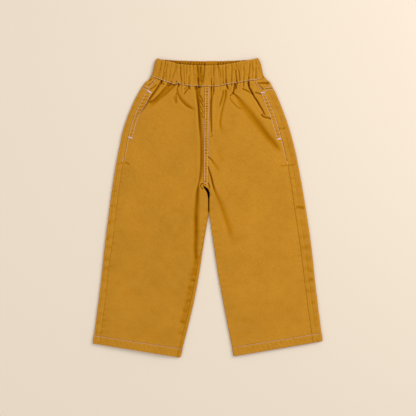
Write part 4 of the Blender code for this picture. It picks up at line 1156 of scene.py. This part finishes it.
# %% The ring's front
def band_front(share, place):
    """Outer and inner face of the waistband's front, and its painted shade; `place` runs from 0 at the left
    to 1.
    """
    left, right = band_edge("left", share) + FRONT_INSET, band_edge("right", share) - FRONT_INSET
    x = between(left, right, place)
    low = smooth(WAIST_SEAM, 1, between(-101.6, 101.6, place)) + HALF_SEAM
    high = smooth(FRONT_TOP, 1, between(-90.8, 90.5, place))
    high -= 1.2 * ease(np.minimum(place, 1 - place) / 0.08)
    y = between(low, high, share)
    ridge, valley = np.zeros(x.shape), np.zeros(x.shape)
    for k, s in enumerate(share[:, 0]):
        valleys = [between(seam, top, s) for top, seam, _, _ in GATHERS]
        depths = [between(at_seam, at_top, s) for _, _, at_top, at_seam in GATHERS]
        ridge[k], valley[k] = gathered(x[k], valleys, depths, 0.75)
    from_end = np.minimum(x - band_edge("left", share), band_edge("right", share) - x)
    base = CASING_HEIGHT + 1.5 * ease((from_end - 2) / 26) + 0.25 * uneven(x, y, 12, 61, 2.5)
    plain = ease((x + 5.5) / 3) * ease((5 - x) / 3)
    ridge = ridge * (1 - 0.8 * plain) + 0.35 * plain
    bulge = 0.7 * np.sin(np.pi * np.clip(share, 0, 1)) ** 0.6
    fading = ease(from_end / 6)
    creases, crease_dark = fold_field(BAND_FOLDS, x, y)
    tucks, tuck_dark = fold_field(SEAM_TUCK_FOLDS, x, y)
    outer = base + bulge + (PUFF * ridge - VALLEY * valley - CREASE * creases - TUCK * tucks) * fading
    outer += 0.34 * uneven(x, y, 2.6, 63, 4) + 0.12 * uneven(x, y, 5, 65) - 0.15 * bump(share * 40, 0.8)
    inner = base - CASING + 0.2 * (valley + creases) * fading
    inner = np.maximum(np.minimum(inner, outer - THINNEST), CASING + 1.1)
    outer = np.maximum(outer, inner + THINNEST)
    # Painted shade in the valleys of the gathers, in the creases and tucks, and along the seam.
    painted_shade = (0.04 * valley + 0.42 * crease_dark + 0.7 * tuck_dark) * fading + 0.05 * bump(share * 40, 1.2)
    return np.stack([x, y, outer], -1), np.stack([x, y, inner], -1), painted_shade


# %% The ring's ends
def band_end(side, share, degrees):
    """The fold at one end of the laid waistband, and the shade painted on it."""
    angle = np.radians(degrees)
    radius = CASING_HEIGHT / 2
    top = FRONT_TOP[0 if side == "left" else -1][1]
    y = between(WAIST_SIDE[side] + HALF_SEAM, top, share) + 0 * angle
    faces = []
    for r in (radius, radius - CASING):
        x = band_edge(side, share) - SIGN[side] * (radius - r * np.cos(angle))
        faces.append(np.stack([x, y, radius + r * np.sin(angle) + 0 * x], -1))
    return *faces, 0 * y + END_SHADE[side] + EDGE_DARK * (1 - np.sin(angle)) / 2


# %% The ring's back
def band_back(share, place):
    """The waistband's back, flat on the table; its inside face is gathered, with painted shade in its
    valleys and below the front's top edge.
    """
    left, right = band_edge("left", share) + BACK_INSET, band_edge("right", share) - BACK_INSET
    x = between(right, left, place)
    side_low = between(WAIST_SIDE["right"], WAIST_SIDE["left"], place)
    low = between(BACK_SEAM_MIDDLE, side_low, np.abs(x) / HALF_WAIST) + HALF_SEAM
    high = FRONT_TOP[0][1] - BACK_TOP_DIP * (1 - (x / HALF_WAIST) ** 2)
    ridge, valley = gathered(x, INNER_VALLEYS, INNER_DEPTHS, 0.5)
    y = between(low, high, share) - 0.5 * valley * bump(share - 1, 0.2)
    fading = ease(np.minimum(place, 1 - place) / 0.04)
    plain = ease((x + 4) / 3) * ease((17 - x) / 3)
    inner = CASING + (ridge * (1 - plain) + 0.3 * plain - 0.8 * valley) * fading
    outer = (0.3 * valley * bump(share - 1, 0.5) + 0.12) * fading * bump(share - 1, 0.9)
    # Painted shade on the inside of the back, up to just above the front's top edge, and in the valleys.
    shaded = ease((smooth(FRONT_TOP, 1, x) + 3.2 - y) / 4)
    return np.stack([x, y, outer], -1), np.stack([x, y, inner], -1), 0.42 * (valley + shaded) * fading


# %% Build the waistband
BAND_FRONT, BAND_END, BAND_BACK = 360, 15, 270  # columns
BAND_ROWS = ((0, 0.1, 6), (0.1, 0.93, 26), (0.93, 1, 5))  # first, last, how many
RIM_ROWS = 5


def waistband():
    shares = np.unique(np.concatenate([np.linspace(*run) for run in BAND_ROWS]))[:, None]
    parts = [
        band_front(shares, np.linspace(0, 1, BAND_FRONT)),
        band_end("right", shares, np.linspace(90, -90, BAND_END)),
        band_back(shares, np.linspace(0, 1, BAND_BACK)),
        band_end("left", shares, np.linspace(-90, 90, BAND_END)),
    ]
    outer, inner, painted_shade = (np.hstack(faces) for faces in zip(*parts))
    half = (outer[-1] - inner[-1]) / 2
    ahead = np.array([0.0, 1.0, 0.0]) * np.linalg.norm(half, axis=1, keepdims=True)
    rim = rounded_edge((outer[-1] + inner[-1]) / 2, half, ahead, RIM_ROWS)
    profile = np.concatenate([outer, rim, inner[::-1]])
    hollow = hollowness(outer, np.array(UP))[:, :BAND_FRONT]
    # Painted shade in the hollows of the front.
    painted_shade[:, :BAND_FRONT] += np.clip(0.4 * hollow, 0, 0.2)
    outside = painted_shade.copy()
    outside[:-2, BAND_FRONT + BAND_END:-BAND_END] *= 0.2  # less painted shade on the back's outside
    # The rim takes the top row's painted shade, and the inner face gets a little more.
    shades = np.concatenate([outside, np.repeat(painted_shade[-1:], RIM_ROWS, 0), painted_shade[::-1] + 0.12])
    wear_and_highlight = 0 * shades
    # Painted highlight on the crests of the front, and paler wear along the top fold.
    wear_and_highlight[:len(outer), :BAND_FRONT] = np.clip(-1.4 * hollow, 0, 0.7)
    wear_and_highlight[len(outer) - 3:len(outer) + RIM_ROWS + 1] += 0.4
    quads = grid_faces(*shades.shape, ring=True)[1]
    return cloth_piece("waistband", profile.reshape(-1, 3), quads, shades.ravel(), wear_and_highlight.ravel())


cloth["waistband"] = waistband()

# %% [markdown]
# ## Topstitching
#
# The trousers are sewn with a thick, pale lilac-beige thread that shows against the mustard. A row of
# stitches is a row of short raised bars whose ends dive into the cloth. A texture could fake them, but
# from a low angle real bars catch the light, so each stitch is a small rounded mesh. To lay a row on
# the cloth, a ray is dropped on it at each end of a stitch, which gives the height and the tilt there.

# %% Cloth to stitch on
IN_A_GAP = 1.7  # in front, only the bottom of a seam's gap is lower than this


def surface_of(pieces):
    """One searchable surface from several pieces."""
    points, faces = [], []
    for piece in pieces:
        start = len(points)
        points += [tuple(v.co) for v in piece.data.vertices]
        faces += [tuple(start + i for i in p.vertices) for p in piece.data.polygons]
    return BVHTree.FromPolygons(points, faces)


cloth_surface = surface_of(cloth.values())


def on_cloth(x, y, from_below=False):
    """(point, normal) in metres where the cloth is at (x, y) in mm, or None beside it."""
    outward = -1 if from_below else 1
    for aside in (0, -0.7, 0.7):  # thread does not sink into the gap of a seam: its sides hold it up
        start = Vector(((x + aside) * MM, y * MM, 0.05 * outward))
        hit, normal, _, _ = cloth_surface.ray_cast(start, Vector((0, 0, -outward)))
        if hit is None:
            return None
        if from_below or hit.z > IN_A_GAP * MM:
            break
    hit.x = x * MM
    return hit, normal if normal.z * outward > 0 else -normal


# %% Thread
def thread(name, colour, roughness):
    """Spun thread: a soft sheen, and fine slanting twist along it."""
    material, tree, shader = new_material(name)
    place = add(tree, "TexCoord").outputs["Object"]
    fuzz = noise(tree, place, 1500, 2)
    twist = add(tree, "TexWave", Vector=place, Scale=900, Distortion=2).outputs["Fac"]
    colour = linear(*colour)
    shade = blend(tree, ramp(tree, fuzz, 0.3, 0.7, 0, 0.8), colour, dimmed(colour, 0.78))
    feed(tree, shader.inputs["Base Color"], shade)
    relief = add(tree, "Bump", Height=twist, Strength=0.5, Distance=0.0001)
    feed(tree, shader.inputs["Normal"], relief.outputs["Normal"])
    shader.inputs["Roughness"].default_value = roughness
    shader.inputs["Sheen Weight"].default_value = 0.2
    shader.inputs["Sheen Tint"].default_value = linear(240, 230, 226)
    return material


topstitch = thread("topstitch_thread", THREAD, 0.62)
bartack_thread = thread("bartack_thread", BARTACK_THREAD, 0.55)

# %% The shape of a stitch
STITCH_PITCH = 2.95
STITCH_LENGTH = 2.84
STITCH_WIDTH = 0.72
STITCH_CORNERS = 6
STITCH_FLATNESS = 0.62  # the thread is pulled flat, so it is wider than it is high
STITCH_SHAPE = (  # place along the stitch, height above the cloth, share of the width
    (-0.5, -0.22, 0.5), (-0.36, 0.05, 0.85), (-0.12, 0.17, 1), (0.12, 0.17, 1), (0.36, 0.05, 0.85),
    (0.5, -0.22, 0.5),
)


# %% Many stitches as one mesh
def stitch_mesh(name, places, width, material):
    """One mesh of many stitches, from (start, end, normal) in metres."""
    angles = np.linspace(0, 2 * np.pi, STITCH_CORNERS, endpoint=False)
    points, faces = [], []
    for start, end, up in places:
        start, end, up = np.array(start), np.array(end), np.array(up)
        across = np.cross(up, end - start)
        across /= np.linalg.norm(across)
        first = len(points)
        for share, height, thick in STITCH_SHAPE:
            centre = (start + end) / 2 + (end - start) * share + up * height * MM
            r = width / 2 * MM * thick
            low = r * STITCH_FLATNESS
            points += [centre + across * r * np.cos(a) + up * low * np.sin(a) for a in angles]
        rings = np.arange(first, len(points)).reshape(-1, STITCH_CORNERS).tolist()
        for ring, ahead in zip(rings, rings[1:]):
            turned, turned_ahead = ring[1:] + ring[:1], ahead[1:] + ahead[:1]
            faces += zip(ring, turned, turned_ahead, ahead)
        faces += [rings[0][::-1], rings[-1]]
    print(f"{name}: {len(places)} stitches")
    return mesh_piece(name, points, faces, material)


# %% A stitch laid on the cloth
def laid_between(ends, below=False):
    """(start, end, normal) of a stitch on the cloth, or None if it would hang beside it."""
    hits = [on_cloth(*end, below) for end in ends]
    if None in hits:
        return None
    (start, up), (end, up_too) = hits
    return start, end, (up + up_too).normalized()


# %% A row of stitches
TALLEST_STEP = 0.0022  # metres; a stitch does not climb more than this
LENGTH_VARIES = (0.94, 1.05)
STRAYS = 0.06  # mm from the line
sewn = {}


def sew(name, lines, width=STITCH_WIDTH, pitch=STITCH_PITCH, length=STITCH_LENGTH, below=False):
    """Rows of stitches laid on the cloth along lines of (x, y) in mm."""
    places = []
    wobble = np.random.RandomState(len(name))
    for line in lines:
        line = np.array(line, float)
        gone = distances_along(line)
        for at in np.arange(pitch / 2, gone[-1] - pitch / 3, pitch):
            half = length / 2 * wobble.uniform(*LENGTH_VARIES)
            ends = []
            for s in (at - half, at + half):
                aside = wobble.normal(0, STRAYS)
                ends.append((np.interp(s, gone, line[:, 0]) + aside, np.interp(s, gone, line[:, 1])))
            place = laid_between(ends, below)
            if place and abs(place[0].z - place[1].z) < TALLEST_STEP:
                places.append(place)
    sewn[name] = stitch_mesh(name, places, width, topstitch)


# %% [markdown]
# ## Where the rows of stitching run
#
# The waist has one row that holds the casing down. Two rows hold the felled front seam, one edges
# each side seam from the waist to below the pocket, and a second, shorter row runs beside the pocket
# mouth. The yoke has two rows, and each hem one. Rows beside an edge are worked out from that edge.

# %% Rows beside an edge
def side_row(side, first_y, last_y, inset):
    """A row beside the side seam."""
    y = np.arange(first_y, last_y, -2.0)
    edge = smooth(OUTER_EDGE, COLUMN[side], y) - SIGN[side] * smooth(SIDE_STRIP, COLUMN[side], y)
    return np.stack([edge - SIGN[side] * inset, y], -1)


def waist_row():
    x = np.arange(-103.5, 103.5, 1.5)
    return np.stack([x, smooth(WAIST_SEAM, 1, x) + 1.2], -1)


def hem_row(side, front):
    """Along the hem, from the outer edge to the inner edge."""
    row = rows_at(side, [2 - HEM_HEIGHT / LEG[side]])
    x = between(row.outer_x, row.edge_x, np.linspace(0.004, 0.996, 70))
    y = y_on_front(side, row, x) if front else y_on_back(row, x)
    return np.stack([x[0], y[0]], -1)


# %% Rows with a path of their own
FRONT_SEAM_ROWS = (
    ((-4, 222.8), (-4, 179.4), (-5.5, 144), (-6, 96), (-6.2, 70), (-6.2, 49)),
    ((2.1, 222.8), (2.1, 179.4), (1, 153.5), (0.5, 96), (-0.7, 63), (-0.2, 46)),
)
POCKET_INNER_ROWS = {
    "left": ((-105.9, 210.1), (-114.6, 192.1), (-125.2, 176), (-131.6, 160), (-135.9, 145), (-139.2, 131)),
    "right": ((100.2, 212), (107.9, 190.3), (116.2, 170), (120.6, 155), (124.1, 144.6), (128.5, 130)),
}
YOKE_ROWS = {
    "left": (((-120.5, 228), (-111.4, 223.4), (-107, 221.2)),
             ((-123, 223.4), (-111.6, 218), (-107.5, 216.2))),
    "right": (((120.5, 226.4), (110.2, 222.7), (101.5, 220.4)),
              ((123.6, 220.2), (113.3, 218.6), (104.6, 215.8))),
}
CROTCH_ROW = ((-8.4, 47.4), (-3.6, 45.4), (0.6, 43.2))

# %% Sew the front
SEAM_WIDTH = 0.78  # stitches along the long seams are pulled a little broader
sew("stitching_waist", [waist_row()], width=0.66)
sew("stitching_front_seam", [curve_through(row, 3) for row in FRONT_SEAM_ROWS], width=SEAM_WIDTH)
sew("stitching_crotch", [curve_through(CROTCH_ROW, 1)], pitch=2.4, length=2.1)
for side in SIDES:
    pocket_rows = [side_row(side, 237, 88, 1.5), curve_through(POCKET_INNER_ROWS[side], 3)]
    sew("stitching_pocket_" + side, pocket_rows, width=SEAM_WIDTH)
    sew("stitching_yoke_" + side, [curve_through(row, 1) for row in YOKE_ROWS[side]])
    sew("stitching_hem_" + side, [hem_row(side, True)])


# %% [markdown]
# ## Rows on the back
#
# Turned over, the trousers have the same thread along the waist, the centre back, the yoke seam and
# the hems. The back rests on the table, so its stitches lie flush with the cloth there.

# %% Sew the back
JUST_ABOVE_TABLE = 0.00002  # metres


def back_rows():
    centre = [((x, 229), (x, 198), (x - 0.2, 150), (x - 2.9, 98), (x - 6.5, 52)) for x in (1.6, 7.6)]
    rows = [curve_through(row, 4) for row in centre]
    for side in SIDES:
        row = rows_at(side, [YOKE_SHARE])
        x = between(row.outer_x, row.back_x, np.linspace(0.04, 0.99, 40))
        rows += [np.stack([x[0], y_on_back(row, x)[0] + above], -1) for above in (1.2, 7.0)]
    x = np.arange(-98, 98, 2.0)
    seam = between(BACK_SEAM_MIDDLE, sum(WAIST_SIDE.values()) / 2, np.abs(x) / HALF_WAIST)
    return rows + [np.stack([x, seam + 1.4], -1)] + [hem_row(side, False) for side in SIDES]


sew("stitching_behind", back_rows(), below=True)
for vertex in sewn["stitching_behind"].data.vertices:
    vertex.co.z = max(vertex.co.z, JUST_ABOVE_TABLE)

# %% [markdown]
# ## Bartacks
#
# A bartack is a dense little bar of zigzag that keeps a pocket's end from tearing. It is whiter than
# the rest, because the threads lie side by side. Each is a short run of narrow stitches set across
# the bar, very close together. A smaller bar ends the row along each side seam.

# %% Bartacks
BARTACKS = {  # start and end
    "left_top": ((-110.9, 216.9), (-104.2, 212.4)),
    "left_bottom": ((-146.4, 131.3), (-139.2, 128.7)),
    "right_top": ((98.4, 213.0), (105.0, 213.9)),
    "right_bottom": ((128.4, 126.9), (135.8, 128.5)),
    "left_end": ((-155.9, 92.4), (-157.4, 86.6)),
    "right_end": ((146.7, 86.4), (147.9, 80.8)),
}
BARTACK_PITCH, BARTACK_WIDTH, BARTACK_LEAN = 0.52, 0.62, 0.16
BARTACK_HEIGHT, END_HEIGHT = 1.9, 1.0


def bartack(name, start, end, tall, material):
    """A bar of close threads from start to end."""
    start, end = np.array(start), np.array(end)
    length = np.hypot(*(end - start))
    run = (end - start) / length
    across = np.array([-run[1], run[0]]) * tall / 2
    places = []
    for at in np.arange(0.25, length, BARTACK_PITCH):
        lean = BARTACK_LEAN * (-1) ** len(places)
        place = laid_between([start + run * (at + s * lean) + across * s for s in (-1, 1)])
        if place:
            places.append(place)
    sewn[name] = stitch_mesh(name, places, BARTACK_WIDTH, material)


for place, ends in BARTACKS.items():
    kind = (END_HEIGHT, topstitch) if "end" in place else (BARTACK_HEIGHT, bartack_thread)
    bartack("bartack_" + place, *ends, *kind)

# %% [markdown]
# ## Which solid each piece stands for
#
# Every cloth piece takes the place of one solid of the model, which is hidden. Nothing moves, so all
# ride on the one body. The table also gives the width, length and area of each piece's paper
# pattern, all round where it is a tube.

# %% Tie the pieces to the model
PARTS = {  # node: width, length and area of the cut in metres, and the stitching on it
    "waistband": (0.460, 0.042, 0.0190, ["waist"]),
    "front_left": (0.195, 0.520, 0.0800, ["pocket_left", "hem_left"]),
    "back_left": (0.245, 0.510, 0.0960, []),
    "yoke_left": (0.140, 0.050, 0.0052, ["yoke_left"]),
    "front_right": (0.190, 0.515, 0.0790, ["pocket_right", "hem_right", "front_seam", "crotch"]),
    "back_right": (0.245, 0.505, 0.0960, ["behind"]),
    "yoke_right": (0.140, 0.050, 0.0052, ["yoke_right"]),
}
for node, (width, length, area, rows) in PARTS.items():
    piece = cloth[node]
    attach(piece, "root")
    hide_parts(node)
    extras = [sewn["stitching_" + row] for row in rows]
    if node.startswith("front"):
        side = node.removeprefix("front_")
        extras += [sewn[f"bartack_{side}_{end}"] for end in ("top", "bottom", "end")]
    for extra in extras:
        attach(extra, "root")
print(len(PARTS), "cloth pieces tied to the model, with", len(sewn), "pieces of stitching")

# %% [markdown]
# ## Floor, light and camera
#
# A plain pale floor and large soft lights keep the attention on the cloth. The main light comes from
# the upper right, low enough to draw the folds. A second, weaker one fills from the left. The camera
# looks straight down through a long lens, so the outline keeps its true shape.

# %% Floor
FLOOR_REACH = 6  # metres to each side
FLOOR_Z = -0.0001  # just under the cloth


def make_floor():
    material, _, shader = new_material("pale_floor")
    shader.inputs["Base Color"].default_value = linear(*FLOOR)
    shader.inputs["Roughness"].default_value = 0.9
    shader.inputs["Specular IOR Level"].default_value = 0.15
    corners = [(x * FLOOR_REACH, y * FLOOR_REACH, 0) for x, y in ((-1, -1), (1, -1), (1, 1), (-1, 1))]
    floor = mesh_piece("floor", corners, [(0, 1, 2, 3)], material)
    floor.location.z = FLOOR_Z
    return floor


make_floor()


# %% Lights
def area_light(name, place, size, power, colour):
    """A square light that looks at the middle of the garment."""
    data = bpy.data.lights.new(name, "AREA")
    data.shape = "SQUARE"
    data.size = size
    data.energy = power
    data.color = colour
    light = in_scene(name, data)
    light.location = place
    light.rotation_euler = (-Vector(place)).to_track_quat("-Z", "Y").to_euler()


area_light("main_light", (1.5, 0.9, 1.35), 1.1, 27, (1.0, 0.985, 0.96))
area_light("fill_light", (-1.7, -0.4, 1.8), 1.6, 12, (0.98, 0.99, 1.0))
world = bpy.data.worlds.new("studio")
bpy.context.scene.world = world
world.use_nodes = True
world.node_tree.nodes["Background"].inputs["Color"].default_value = (1.0, 0.99, 0.975, 1)
world.node_tree.nodes["Background"].inputs["Strength"].default_value = 0.62
bpy.context.scene.view_settings.view_transform = "Standard"

# %% Camera
VIEW_WIDTH = 0.7696  # metres across the picture at the garment
VIEW_CENTRE = (0.00065, -0.0001)
camera_data = bpy.data.cameras.new("camera")
camera_data.lens = 110
camera_data.clip_end = 50
camera = in_scene("camera", camera_data)
distance = VIEW_WIDTH * camera_data.lens / camera_data.sensor_width
camera.location = (*VIEW_CENTRE, distance + 0.004)
bpy.context.scene.camera = camera
print("camera", round(distance, 2), "m above the cloth")
